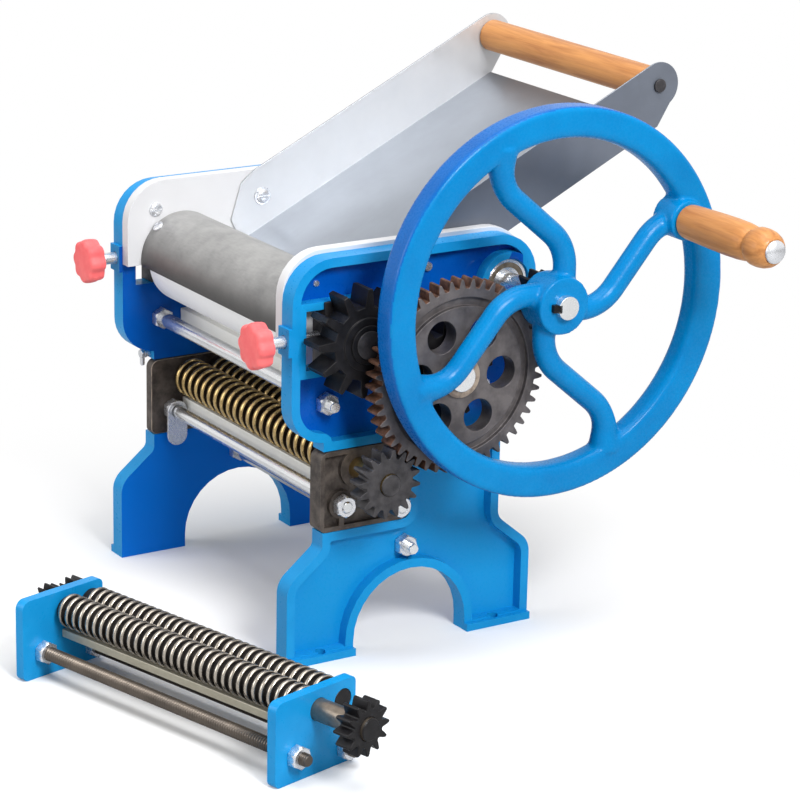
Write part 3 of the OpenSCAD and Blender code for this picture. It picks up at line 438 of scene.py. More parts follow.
# Mouldings and pale bars
WHITE = Finish("white_moulding", Skin.CAST, rgb(222, 222, 224), rgb(216, 216, 218), rough=(0.3, 0.4),
               patch_mm=60, grain_mm=0.8, bump=0.05, specular=0.3)
RED = WHITE.variant("red_moulding", rgb(255, 122, 122), rgb(248, 104, 107), rough=(0.36, 0.5), patch_mm=15,
                    grain_mm=0.9, bump=0.06, specular=0.2)
CREAM = Finish("pale_bar", Skin.DRAWN, rgb(254, 254, 250), rgb(247, 247, 241), rough=(0.3, 0.45),
               stretch=(0.04, 1, 1), grain_mm=1.0)
STRIP = CREAM.variant("cream_strip", rgb(218, 213, 194), rgb(188, 182, 162), metallic=0.3, rough=(0.35, 0.5))

# Sheet, ground and plated metal
ROLLER = Finish("ground_roller", Skin.DRAWN, rgb(244, 244, 244), rgb(236, 236, 237), metallic=0.25,
                rough=(0.36, 0.5), stretch=(1, 0.1, 0.1), grain_mm=0.8, patch_mm=60, bump=0.05)
# Mottled stains, and painted shade: darker towards the bottom of the guard
GUARD = Finish("dull_stainless", Skin.DRAWN, rgb(196, 195, 193), rgb(130, 130, 130), metallic=0.5,
               rough=(0.4, 0.54), stretch=(0.2, 1, 1), grain_mm=1.2, patch_mm=26, below=rgb(70, 69, 68),
               blend_mm=(208.0, 250.0))
SHEET = Finish("tray_stainless", Skin.DRAWN, rgb(218, 219, 221), rgb(200, 202, 205), metallic=0.45,
               rough=(0.34, 0.46), stretch=(1, 0.05, 0.05), grain_mm=0.8, patch_mm=80, bump=0.06)
# Painted shade: a darker copy of the tray's sheet for its upward-facing floor
TRAY_FLOOR_SHADE = SHEET.variant("tray_floor", rgb(164, 170, 179), rgb(138, 143, 151), metallic=0.7,
                           rough=(0.3, 0.42))
# Painted shade and reflection: a darker copy of the sheet for the outer faces of the side walls
TRAY_OUTSIDE_SHADE = SHEET.variant("tray_outside", rgb(122, 128, 139), rgb(100, 105, 115), metallic=0.3,
                             rough=(0.4, 0.5), specular=0.3)
STEEL = Finish("turned_steel", Skin.DRAWN, rgb(236, 237, 238), rgb(214, 216, 218), metallic=0.9,
               rough=(0.18, 0.3), stretch=(0.1, 1, 1), grain_mm=0.6, patch_mm=30, bump=0.05)
ZINC = Finish("zinc_plate", Skin.CAST, rgb(230, 231, 235), rgb(216, 218, 222), metallic=0.85,
              rough=(0.22, 0.34), patch_mm=12, grain_mm=0.6, bump=0.05)
SEAL = ZINC.variant("bearing_seal", rgb(150, 136, 116), rgb(112, 100, 86), metallic=0.5, rough=(0.4, 0.55),
                    patch_mm=5, bump=0.1)
THREAD = ZINC.variant("dark_thread", rgb(112, 103, 94), rgb(88, 81, 75), metallic=0.8, rough=(0.3, 0.44),
                      patch_mm=40, bump=0.15)

# Bare castings and gears
DARK_CAST = Finish("dark_casting", Skin.CAST, rgb(100, 92, 86), rgb(64, 58, 55), metallic=0.4,
                   rough=(0.45, 0.65), patch_mm=9, grain_mm=0.9, bump=0.5, bump_mm=0.25, specular=0.3)
GEAR_CAST = DARK_CAST.variant("grey_gear", rgb(78, 76, 78), rgb(52, 51, 53), rough=(0.42, 0.6), patch_mm=8,
                              grain_mm=0.8, bump=0.4, bump_mm=0.2)
WORN = GEAR_CAST.variant("worn_edges", rgb(176, 160, 144), rgb(116, 104, 96), metallic=0.6,
                         rough=(0.35, 0.5), patch_mm=6, bump=0.3, specular=0.5)
BROWN_CAST = GEAR_CAST.variant("brown_casting", rgb(112, 107, 107), rgb(80, 76, 77), metallic=0.5,
                               rough=(0.38, 0.58), patch_mm=14, bump=0.35)
RUST = GEAR_CAST.variant("rusty_teeth", rgb(122, 88, 70), rgb(66, 48, 40), rough=(0.45, 0.65), patch_mm=5,
                         grain_mm=0.7)
BLACK = GEAR_CAST.variant("black_iron", rgb(31, 30, 32), rgb(18, 17, 19), metallic=0.1, rough=(0.32, 0.48),
                          grain_mm=0.7, bump=0.3, specular=0.2)

# Wood and the cutter rollers
WOOD = Finish("turned_wood", Skin.TIMBER, rgb(216, 152, 88), rgb(166, 104, 56), rough=(0.32, 0.5),
              patch_mm=4.0, grain_mm=0.8, stretch=(0.07, 1, 1), coat=0.1, specular=0.3)
BRONZE = Finish("bronze", Skin.DRAWN, rgb(190, 166, 112), rgb(132, 108, 66), metallic=0.95,
                rough=(0.28, 0.42), stretch=(1, 0.1, 0.1), grain_mm=0.8, patch_mm=8)
FINE_SHAFT = BRONZE.variant("grey_shaft", rgb(150, 138, 124), rgb(104, 95, 86), metallic=0.85,
                            rough=(0.3, 0.45), patch_mm=7)
RING = BRONZE.variant("tinted_rings", rgb(214, 188, 132), rgb(140, 112, 70), rough=(0.2, 0.34),
                      stretch=(1, 0.3, 0.3), grain_mm=1.2, patch_mm=7)
FINE_RING = RING.variant("steel_rings", rgb(198, 190, 178), rgb(136, 128, 118), patch_mm=9)
# Painted shade: a dark finish for the ring flanks and the core between the rings, where shade falls in the grooves
GROOVE_SHADE = Finish("dark_grooves", Skin.CAST, rgb(66, 53, 38), rgb(36, 29, 22), metallic=0.4, rough=(0.45, 0.6),
                patch_mm=6, grain_mm=0.8, specular=0.3)
FINE_GROOVE_SHADE = GROOVE_SHADE.variant("grey_grooves", rgb(52, 48, 45), rgb(28, 26, 25), metallic=0.3)

SLOT_FINISH: dict[str, Finish] = {
    "blue_paint": BLUE, "white_plastic": WHITE, "bright_steel": STEEL, "dull_steel": GUARD,
    "stainless_sheet": SHEET, "zinc": ZINC, "dark_cast": DARK_CAST, "brown_cast": BROWN_CAST,
    "black_iron": BLACK, "red_plastic": RED, "wood": WOOD, "bronze": BRONZE, "bronze_steel": RING,
    "cream_plastic": CREAM,
}


# Meshes


def link(name: str, data: bpy.types.ID) -> Piece:
    """Puts a mesh, a camera or a lamp into the scene as an object at the origin.

    Args:
        name: the object's name.
        data: the mesh, camera or lamp.

    Returns:
        The new object.
    """
    made = bpy.data.objects.new(name, data)
    bpy.context.scene.collection.objects.link(made)
    return made


def smooth(piece: Piece, angle: float = 32.0) -> Piece:
    """Shades an object smooth.

    Args:
        piece: the object.
        angle: edges sharper than this, in degrees, stay sharp.

    Returns:
        The object.
    """
    piece.data.polygons.foreach_set("use_smooth", [True] * len(piece.data.polygons))
    piece.data.set_sharp_from_angle(angle=math.radians(angle))
    piece.data.update()
    return piece


def from_bmesh(name: str, bm: bmesh.types.BMesh) -> Piece:
    """Closes a bmesh into an object with outward normals and smooth faces.

    Args:
        name: the object's name.
        bm: the shape, which is freed here.

    Returns:
        The new object.
    """
    bmesh.ops.remove_doubles(bm, verts=bm.verts, dist=1e-6)
    bmesh.ops.recalc_face_normals(bm, faces=bm.faces)
    mesh = bpy.data.meshes.new(name)
    bm.to_mesh(mesh)
    bm.free()
    return smooth(link(name, mesh))


def baked(piece: Piece, name: str | None = None) -> Piece:
    """Turns an object with modifiers into a plain mesh object.

    Args:
        piece: the object, which is removed.
        name: the name of the plain object, or None for the same name.

    Returns:
        The plain object.
    """
    bpy.context.view_layer.update()
    depsgraph = bpy.context.evaluated_depsgraph_get()
    mesh = bpy.data.meshes.new_from_object(piece.evaluated_get(depsgraph))
    title = name or piece.name
    bpy.data.objects.remove(piece)
    mesh.name = title
    return link(title, mesh)


def angles(steps: int) -> list[float]:
    """The angles of a whole turn in equal steps, in radians."""
    return [2 * math.pi * k / steps for k in range(steps)]


def ring_point(place: float, radius: float, angle: float) -> Vector:
    """A point round the X axis, given in millimetres, as a place in metres."""
    return Vector((place, radius * math.cos(angle), radius * math.sin(angle))) * MM


def bridge(bm: bmesh.types.BMesh, rows: Sequence[Sequence[bmesh.types.BMVert]], ends: bool = False) -> None:
    """Joins rings of points with faces.

    Args:
        bm: the bmesh that holds the points.
        rows: the rings in order, each with the same number of points.
        ends: whether the first and the last ring are closed.
    """
    for first, second in zip(rows, rows[1:]):
        for k in range(len(first)):
            n = (k + 1) % len(first)
            bm.faces.new((first[k], first[n], second[n], second[k]))
    if ends:
        bm.faces.new(list(reversed(rows[0])))
        bm.faces.new(rows[-1])


def lathe_into(bm: bmesh.types.BMesh, profile: Profile, centre: Point, axis: Point = (1, 0, 0),
               steps: int = 48) -> None:
    """Adds a turned shape to a bmesh.

    Args:
        bm: the bmesh that gets the faces.
        profile: (place along the axis, radius) pairs in millimetres, from one end to the other.
        centre: the point on the axis where the place is zero, in metres.
        axis: the direction of the axis.
        steps: faces round the shape.
    """
    turn = Vector((1, 0, 0)).rotation_difference(Vector(axis).normalized()).to_matrix()
    rows = []
    for place, radius in profile:
        ring = [ring_point(place, radius, a) for a in angles(steps)]
        rows.append([bm.verts.new(Vector(centre) + turn @ point) for point in ring])
    bridge(bm, rows, ends=profile[0] != profile[-1])


def lathe(name: str, profile: Profile, centre: Point, axis: Point = (1, 0, 0), steps: int = 48) -> Piece:
    """Makes a turned object.

    Args:
        name: the object's name.
        profile: (place along the axis, radius) pairs in millimetres.
        centre: the point on the axis where the place is zero, in metres.
        axis: the direction of the axis.
        steps: faces round the shape.

    Returns:
        The turned object.
    """
    bm = bmesh.new()
    lathe_into(bm, profile, centre, axis, steps)
    return from_bmesh(name, bm)


def mirrored(end: Profile, left: float, right: float) -> list[tuple[float, float]]:
    """Makes a profile whose two ends are alike.

    Args:
        end: (distance from the end, radius) pairs, from the end inward.
        left: the place of the left end.
        right: the place of the right end.

    Returns:
        The profile from left to right.
    """
    return [(left + x, r) for x, r in end] + [(right - x, r) for x, r in reversed(end)]


def arc_profile(points: Profile, rounds: Sequence[float], steps: int = 5) -> list[tuple[float, float]]:
    """Rounds the inner corners of a profile.

    Args:
        points: the profile's corners.
        rounds: the radius at each corner; the first and the last are not used.
        steps: points on each round.

    Returns:
        The rounded profile.
    """
    out = [tuple(points[0])]
    for k in range(1, len(points) - 1):
        a, b, c = (Vector(points[j]) for j in (k - 1, k, k + 1))
        u, v = (a - b).normalized(), (c - b).normalized()
        room = min((a - b).length, (c - b).length) * ROUND_ROOM
        reach = min(rounds[k] / math.tan(u.angle(v) / 2), room)
        p, q = b + u * reach, b + v * reach
        for j in range(steps + 1):
            t = j / steps
            out.append(tuple((1 - t) ** 2 * p + 2 * t * (1 - t) * b + t * t * q))
    out.append(tuple(points[-1]))
    return out


def tinted(piece: Piece, finish: Finish) -> Piece:
    """Gives an object one finish.

    Args:
        piece: the object.
        finish: its finish.

    Returns:
        The object.
    """
    piece.data.materials.clear()
    piece.data.materials.append(finish.material())
    return piece


def repainted(piece: Piece, finish: Finish, chosen: Callable[[Face], bool]) -> Piece:
    """Gives some faces of an object a further finish.

    Args:
        piece: the object, which has its first finish already.
        finish: the finish of the chosen faces.
        chosen: tells whether a face is chosen.

    Returns:
        The object.
    """
    used = list(piece.data.materials)
    if finish.material() not in used:
        piece.data.materials.append(finish.material())
        used.append(finish.material())
    index = used.index(finish.material())
    for face in piece.data.polygons:
        if chosen(face):
            face.material_index = index
    return piece


def joined(name: str, pieces: Sequence[Piece]) -> Piece:
    """Joins objects with their materials into one plain object.

    Args:
        name: the name of the result.
        pieces: the objects, which are removed.

    Returns:
        The joined object.
    """
    bm = bmesh.new()
    materials: list[bpy.types.Material] = []
    for piece in pieces:
        start = len(bm.faces)
        bm.from_mesh(piece.data)
        bm.faces.ensure_lookup_table()
        for material in piece.data.materials:
            if material not in materials:
                materials.append(material)
        for face in bm.faces[start:]:
            face.material_index = materials.index(piece.data.materials[face.material_index])
        bpy.data.objects.remove(piece)
    mesh = bpy.data.meshes.new(name)
    bm.to_mesh(mesh)
    bm.free()
    for material in materials:
        mesh.materials.append(material)
    return smooth(link(name, mesh))


# CAD nodes


def merged(node: str) -> bmesh.types.BMesh:
    """Copies a CAD node's mesh with its loose triangles joined.

    Args:
        node: the CAD node's name.

    Returns:
        The copy, which the caller frees.
    """
    bm = bmesh.new()
    bm.from_mesh(frame["nodes"][node].data)
    bmesh.ops.remove_doubles(bm, verts=bm.verts, dist=MERGE)
    return bm


def islands(node: str) -> list[list[Vector]]:
    """Splits a CAD node into the points of its separate solids.

    Args:
        node: the CAD node's name.

    Returns:
        One list of points, in metres, for each solid.
    """
    bm = merged(node)
    left = set(bm.verts)
    found = []
    while left:
        stack = [left.pop()]
        island = []
        while stack:
            vert = stack.pop()
            island.append(vert.co.copy())
            for edge in vert.link_edges:
                other = edge.other_vert(vert)
                if other in left:
                    left.remove(other)
                    stack.append(other)
        found.append(island)
    bm.free()
    return found


def middle_of(points: Sequence[Vector]) -> Vector:
    """The middle of the box round some points."""
    return Vector([(min(p[k] for p in points) + max(p[k] for p in points)) / 2 for k in range(3)])


def shaft_axis(node: str) -> Vector:
    """The direction of a node's rollers and rods: that of the spare head, or X."""
    return Vector(JOINTS["spare_front_spin"]["axis"]) if node.startswith("spare") else Vector((1, 0, 0))


def softened(node: str, width_mm: float, steps: int = 2, edged: bool = False) -> Piece:
    """Copies a CAD node as a clean mesh with its hard edges broken.

    Args:
        node: the CAD node's name.
        width_mm: width of the broken edge.
        steps: faces across the broken edge.
        edged: whether the casting has worn edges in a second finish.

    Returns:
        The new object, which stands where the node is.
    """
    bm = merged(node)
    bmesh.ops.dissolve_limit(bm, angle_limit=math.radians(FLAT_ANGLE), verts=bm.verts, edges=bm.edges)
    mesh = bpy.data.meshes.new(node + "_shell")
    bm.to_mesh(mesh)
    bm.free()
    mesh.materials.clear()
    piece = smooth(link(node + "_shell", mesh), SHARP_ANGLE)
    edge = piece.modifiers.new("broken_edges", "BEVEL")
    edge.harden_normals = True
    edge.width = width_mm * MM
    edge.segments = steps
    edge.limit_method = "ANGLE"
    edge.angle_limit = math.radians(BROKEN_ANGLE)
    edge.miter_outer = "MITER_ARC"
    if edged:
        for finish in (DARK_CAST, WORN):
            mesh.materials.append(finish.material())
        edge.material = 1
    return baked(piece)


def dress(piece: Piece, node: str, finish: Finish | None = None) -> None:
    """Sets a finished piece on the body of the CAD node that it replaces, and hides the node.

    Args:
        piece: the piece.
        node: the CAD node that it stands for.
        finish: its finish, or None where the mesh has its materials already.
    """
    if finish:
        tinted(piece, finish)
    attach(piece, BODY_OF[node])
    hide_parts(node)
    LOG.info("%s on %s, %d faces", piece.name, BODY_OF[node], len(piece.data.polygons))


def replace_softly(node: str, width_mm: float, finish: Finish | None = None, steps: int = 2) -> None:
    """Replaces a CAD node by its copy with broken edges, in its slot's finish unless one is given."""
    dress(softened(node, width_mm, steps), node, finish or SLOT_FINISH[SLOT_OF[node]])


# Geometry Nodes


def end_tree(g: Graph, given: Node, out: Node, placed: Node) -> None:
    """Turns the instances of a tree into real faces in the material that is given.

    Args:
        g: the tree's graph.
        given: its input node.
        out: its output node.
        placed: the node that places the instances.
    """
    real = g.add("GeometryNodeRealizeInstances", Geometry=placed.outputs["Instances"])
    painted = g.add("GeometryNodeSetMaterial", Geometry=real.outputs["Geometry"],
                    Material=given.outputs["Material"])
    g.put(out, "Geometry", painted.outputs["Geometry"])


def row_tree() -> None:
    """Builds the tree that repeats a shape along a straight row."""
    g, given, out = new_group("row_of_shapes", "GeometryNodeTree", (
        ("Geometry", "NodeSocketGeometry", None),
        ("Count", "NodeSocketInt", 2),
        ("Start", "NodeSocketVector", (0.0, 0.0, 0.0)),
        ("Step", "NodeSocketVector", (0.01, 0.0, 0.0)),
        ("Material", "NodeSocketMaterial", None),
    ), (("Geometry", "NodeSocketGeometry"),))
    line = g.add("GeometryNodeMeshLine", {"mode": "OFFSET"}, Count=given.outputs["Count"],
                 Start_Location=given.outputs["Start"], Offset=given.outputs["Step"])
    placed = g.add("GeometryNodeInstanceOnPoints", Points=line.outputs["Mesh"],
                   Instance=given.outputs["Geometry"])
    end_tree(g, given, out, placed)


def seat_tree() -> None:
    """Builds the tree that sets a shape on marked points, turned to each point's aim."""
    g, given, out = new_group("shapes_on_seats", "GeometryNodeTree", (
        ("Geometry", "NodeSocketGeometry", None),
        ("Seats", "NodeSocketObject", None),
        ("Material", "NodeSocketMaterial", None),
    ), (("Geometry", "NodeSocketGeometry"),))
    seats = g.add("GeometryNodeObjectInfo", Object=given.outputs["Seats"])
    aim = g.add("GeometryNodeInputNamedAttribute", {"data_type": "FLOAT_VECTOR"}, Name="aim")
    turned = g.add("FunctionNodeAlignRotationToVector", {"axis": "X"}, Vector=aim.outputs["Attribute"])
    placed = g.add("GeometryNodeInstanceOnPoints", Points=seats.outputs["Geometry"],
                   Instance=given.outputs["Geometry"], Rotation=turned.outputs["Rotation"])
    end_tree(g, given, out, placed)


def run_tree(seed: Piece, tree: str, inputs: dict[str, object], name: str) -> Piece:
    """Runs a Geometry Nodes tree on a seed shape and keeps the result as a plain mesh.

    Args:
        seed: the shape that repeats, which is removed.
        tree: the tree's name.
        inputs: values by input name.
        name: the name of the result.

    Returns:
        The plain object.
    """
    group = bpy.data.node_groups[tree]
    ids = {item.name: item.identifier for item in group.interface.items_tree if item.in_out == "INPUT"}
    modifier = seed.modifiers.new("repeat", "NODES")
    modifier.node_group = group
    for label, value in inputs.items():
        modifier[ids[label]] = value
    return smooth(baked(seed, name))


def in_row(seed: Piece, name: str, count: int, start: Vector, step: Vector, finish: Finish) -> Piece:
    """Repeats a seed shape along a row.

    Args:
        seed: the shape that repeats, which is removed.
        name: the name of the result.
        count: how many there are.
        start: the place of the first, in metres.
        step: the way from one to the next, in metres.
        finish: the finish of the row.

    Returns:
        The row as one object.
    """
    sizes = {"Count": count, "Start": tuple(start), "Step": tuple(step), "Material": finish.material()}
    return run_tree(seed, "row_of_shapes", sizes, name)


def on_seats(seed: Piece, name: str, seats: Sequence[tuple[Point, Point]], finish: Finish) -> Piece:
    """Sets a seed shape on a number of seats.

    Args:
        seed: the shape that repeats, which is removed.
        name: the name of the result.
        seats: (place in metres, aim of the shape's X axis) for each.
        finish: the finish of the shapes.

    Returns:
        The shapes as one object.
    """
    mesh = bpy.data.meshes.new("seats")
    mesh.from_pydata([place for place, _ in seats], [], [])
    aim = mesh.attributes.new("aim", "FLOAT_VECTOR", "POINT")
    for k, (_, direction) in enumerate(seats):
        aim.data[k].vector = direction
    marks = link("seats", mesh)
    made = run_tree(seed, "shapes_on_seats", {"Seats": marks, "Material": finish.material()}, name)
    bpy.data.objects.remove(marks)
    return made


# Seeds of the repeated shapes, with sizes in millimetres


@dataclass(frozen=True)
class Nut:
    """A hexagonal nut along X, starting at the origin, with chamfered corners and an open bore."""

    flats: float = 13.0
    thick: float = 6.5
    bore: float = 8.05
    chamfer: float = 0.8
    face: float = 0.97
    steps: int = 36

    def seed(self) -> Piece:
        """Makes the nut.

        Returns:
            The nut.
        """
        bm = bmesh.new()
        half = self.flats / 2
        levels = ((0, half * self.face), (self.chamfer, math.inf), (self.thick - self.chamfer, math.inf),
                  (self.thick, half * self.face))
        rows = []
        for place, limit in levels:
            row = []
            for a in angles(self.steps):
                hexagon = half / math.cos((a + math.pi / 6) % (math.pi / 3) - math.pi / 6)
                row.append(bm.verts.new(ring_point(place, min(hexagon, limit), a)))
            rows.append(row)
        for place in (self.thick, 0):
            rows.append([bm.verts.new(ring_point(place, self.bore / 2, a)) for a in angles(self.steps)])
        bridge(bm, [*rows, rows[0]])
        return from_bmesh("nut_seed", bm)


@dataclass(frozen=True)
class SlottedScrew:
    """A slotted dome-head screw along X, with its head's seat at the origin.

    A washer of diameter 0 is left out. The slot is cut by a block whose middle lies in the top of the head.
    Its height is a share of the head's height, and its length and width are shares of the head's diameter.
    """

    head: float
    height: float
    washer: float
    shank: float
    length: float
    rim: float = 0.35
    dome_steps: int = 6
    slot: tuple[float, float, float] = (1.1, 1.2, 0.16)
    chamfer: float = 0.5
    overlap: float = 0.1
    washer_top: float = 0.7
    washer_bore: float = 0.5
    washer_round: float = 0.2
    steps: int = 32
    shank_steps: int = 24

    def slotted_head(self) -> Piece:
        """Turns the dome of the head and cuts its slot.

        Returns:
            The head.
        """
        r = self.head / 2
        turns = [math.pi / 2 * k / self.dome_steps for k in range(self.dome_steps)]
        dome = [(0, THIN), (0, r)]
        dome += [(self.height * (self.rim + (1 - self.rim) * math.sin(t)), r * math.cos(t)) for t in turns]
        dome.append((self.height, THIN / 2))
        head = lathe("head", dome, (0, 0, 0), steps=self.steps)
        deep, long, wide = self.slot
        cut = bmesh.new()
        size = Matrix.Diagonal((self.height * deep * MM, self.head * long * MM, self.head * wide * MM, 1))
        bmesh.ops.create_cube(cut, size=1.0, matrix=Matrix.Translation((self.height * MM, 0, 0)) @ size)
        tool = from_bmesh("slot_tool", cut)
        slot = head.modifiers.new("slot", "BOOLEAN")
        slot.object = tool
        slot.solver = "EXACT"
        head = baked(head)
        bpy.data.objects.remove(tool)
        return head

    def seed(self) -> Piece:
        """Makes the screw with its washer.

        Returns:
            The screw.
        """
        head = self.slotted_head()
        r, end, top = self.shank / 2, -self.length, self.overlap
        shank = [(end, THIN), (end, r - self.chamfer), (end + self.chamfer, r), (top, r), (top, THIN)]
        turned = lathe("shank", shank, (0, 0, 0), steps=self.shank_steps)
        pieces = [tinted(head, ZINC), tinted(turned, ZINC)]
        if self.washer:
            low, high, r = -self.overlap, self.washer_top, self.washer / 2
            corners = [(low, self.washer_bore), (low, r), (high, r), (high, self.washer_bore)]
            ring = arc_profile(corners, [0, self.washer_round, self.washer_round, 0])
            pieces.append(tinted(lathe("washer", ring, (0, 0, 0), steps=self.steps), ZINC))
        return joined("screw_seed", pieces)


def thread_seed(outer: float, depth: float, pitch: float, axis: Point, crest: float = 0.08,
                steps: int = 20) -> Piece:
    """Makes one ridge of a thread round an axis: a ring with a peaked section.

    Args:
        outer: the thread's outer diameter.
        depth: its depth.
        pitch: the way from ridge to ridge.
        axis: the direction of the axis.
        crest: half the width of the ridge's top, as a share of the pitch.
        steps: faces round the ridge.

    Returns:
        The ridge.
    """
    r, root, half, top = outer / 2, outer / 2 - depth, pitch / 2, pitch * crest
    ridge = [(-half, root), (-top, r), (top, r), (half, root), (-half, root)]
    return lathe("thread_seed", ridge, (0, 0, 0), axis, steps)


# Sub-assemblies, with sizes in millimetres


@dataclass
class Castings:
    """The painted side frames, the white cheeks, the dark cutter plates and the bearing blocks."""

    frame_edge: float = 2.0
    cheek_edge: float = 1.2
    plate_edge: float = 1.0
    block_edge: float = 0.8
    recess_x: float = 121.0
    facing: float = 0.5

    def outward(self, face: Face) -> float:
        """How far a face of a frame looks away from the machine, from -1 to 1."""
        return math.copysign(1.0, face.center.x) * face.normal.x

    def inside(self, face: Face) -> bool:
        """Tells whether a face of a frame looks into the machine, where a darker blue is painted as shade."""
        return self.outward(face) < -self.facing

    def recess(self, face: Face) -> bool:
        """Tells whether a face of a frame looks outward from below its rim, on the recessed web where a darker
        blue is painted as shade.
        """
        return abs(face.center.x) < self.recess_x * MM and self.outward(face) > self.facing

    def build(self) -> None:
        """Replaces each casting by a copy with broken edges."""
        for side in ("right", "left"):
            node = f"{side}_side_frame"
            # Painted shade: each frame's inner faces get a darker blue
            casting = repainted(tinted(softened(node, self.frame_edge, 3), BLUE), INSIDE_SHADE, self.inside)
            # Painted shade: each frame's recessed web gets a darker blue
            dress(repainted(casting, RECESS_SHADE, self.recess), node)
            replace_softly(f"{side}_cheek", self.cheek_edge, steps=3)
            node = f"cutter_{side}_plate"
            dress(softened(node, self.plate_edge, edged=True), node)
            replace_softly(f"spare_{side}_plate", self.plate_edge)
            # Cast iron in a dark grey, partly painted shade: it also stands in for the shade behind the gears
            replace_softly(f"{side}_bearing_block", self.block_edge, GEAR_CAST)


@dataclass
class Flywheel:
    """The flywheel with its swept spokes, hub and handle boss, cast in one piece.

    The corners of the rim are (distance from its side, height from its inner or outer radius).
    """

    outer: float = 125.3
    rim_width: float = 19.7
    rim_depth: float = 17.5
    inner_crown: float = -0.5
    inner_corner: Profile = ((4.0, -0.3), (0.6, 1.6), (0.0, 5.0))
    outer_corner: Profile = ((0.0, -2.0), (0.6, -0.6), (2.0, 0.0))
    rim_steps: int = 180
    edge_band: float = 3.0
    edge_facing: float = 0.65
    middle_x: float = 172.3
    hub_radius: float = 18.5
    hub_x: tuple[float, float] = (161.1, 184.05)
    hub_steps: int = 64
    spokes: int = 4
    spoke: float = 15.0
    spoke_flat: float = 0.97
    spoke_steps: int = 20
    flare: float = 0.22
    flare_from: float = 84.0
    flare_over: float = 20.0
    bend: float = 30.0
    bend_steps: int = 10
    swing: float = 50.0
    low: float = -7.0
    high: float = 43.0
    spoke_from: float = 8.0
    straight_from: float = 22.0
    spoke_to: float = 103.0
    boss: tuple[float, float] = (92.4, 44.5)
    boss_radius: float = 13.0
    boss_back: float = 8.0
    boss_front: float = 185.55
    boss_steps: int = 48
    voxel: float = 1.25
    ease: float = 0.5
    ease_rounds: int = 4
    sharp_angle: float = 60.0

    def place(self, y: float, z: float, x: float) -> Vector:
        """A point of the wheel's plane, in millimetres, as a place in the frame."""
        axis = pivot("flywheel_spin")
        return Vector((x * MM, axis.y + y * MM, axis.z + z * MM))

    def rim(self) -> list[tuple[float, float]]:
        """Gives the rim's section.

        Returns:
            The closed profile of the rim.
        """
        inner, half = self.outer - self.rim_width, self.rim_depth / 2
        side = [(x, inner + up) for x, up in self.inner_corner]
        side += [(x, self.outer + up) for x, up in self.outer_corner]
        crown = (self.middle_x, inner + self.inner_crown)
        return [crown, *mirrored(side, self.middle_x - half, self.middle_x + half), crown]

    def spoke_path(self) -> list[Vector]:
        """Gives the middle line of the first spoke, which swings from one radius to another.

        Returns:
            Points in the plane of the wheel.
        """
        swing = math.radians(self.swing)
        rise, run = self.bend * (1 - math.cos(swing)), self.bend * math.sin(swing)
        length = (self.high - self.low - 2 * rise) / math.sin(swing)
        start = self.straight_from
        end = start + 2 * run + length * math.cos(swing)
        turns = [swing * k / self.bend_steps for k in range(self.bend_steps + 1)]
        bends = [(self.bend * math.sin(a), self.bend * (1 - math.cos(a))) for a in turns]
        path = [Vector((self.spoke_from, self.low))]
        path += [Vector((start + y, self.low + z)) for y, z in bends]
        path += [Vector((end - y, self.high - z)) for y, z in reversed(bends)]
        path.append(Vector((self.spoke_to, self.high)))
        return path

    def spoke_into(self, bm: bmesh.types.BMesh, angle: float) -> None:
        """Adds one round spoke with a flared end.

        Args:
            bm: the bmesh that gets the faces.
            angle: the turn of the spoke in degrees.
        """
        turn = Matrix.Rotation(math.radians(angle), 2)
        path = self.spoke_path()
        rows = []
        for k, here in enumerate(path):
            before, after = path[max(k - 1, 0)], path[min(k + 1, len(path) - 1)]
            along = (after - before).normalized()
            across = Vector((-along.y, along.x))
            far = max(0.0, here.length - self.flare_from) / self.flare_over
            r = self.spoke / 2 * (1 + self.flare * far * far)
            row = []
            for a in angles(self.spoke_steps):
                flat = turn @ (here + across * r * math.cos(a))
                x = self.middle_x + r * self.spoke_flat * math.sin(a)
                row.append(bm.verts.new(self.place(flat.x, flat.y, x)))
            rows.append(row)
        bridge(bm, rows, ends=True)

    def build(self) -> None:
        """Fuses rim, spokes, hub and boss by a fine remesh, which leaves the fillets of a casting."""
        bm = bmesh.new()
        centre = self.place(0, 0, 0)
        lathe_into(bm, self.rim(), centre, steps=self.rim_steps)
        for k in range(self.spokes):
            self.spoke_into(bm, 360 / self.spokes * k)
        lathe_into(bm, [(x, self.hub_radius) for x in self.hub_x], centre, steps=self.hub_steps)
        boss_x = (self.middle_x - self.boss_back, self.boss_front)
        boss = [(x, self.boss_radius) for x in boss_x]
        lathe_into(bm, boss, self.place(*self.boss, 0), steps=self.boss_steps)
        wheel = from_bmesh("flywheel_casting", bm)
        melt = wheel.modifiers.new("melt", "REMESH")
        melt.mode = "VOXEL"
        melt.voxel_size = self.voxel * MM
        ease = wheel.modifiers.new("ease", "SMOOTH")
        ease.factor = self.ease
        ease.iterations = self.ease_rounds
        wheel = tinted(smooth(baked(wheel), self.sharp_angle), BLUE_WHEEL)
        # Painted shade: the faces round the outer edge of the rim get a darker blue
        edge = (self.outer - self.edge_band) * MM
        repainted(wheel, WHEEL_EDGE_SHADE, lambda face: (
            abs(face.normal.x) < self.edge_facing and (face.center - centre).yz.length > edge))
        dress(wheel, "flywheel")


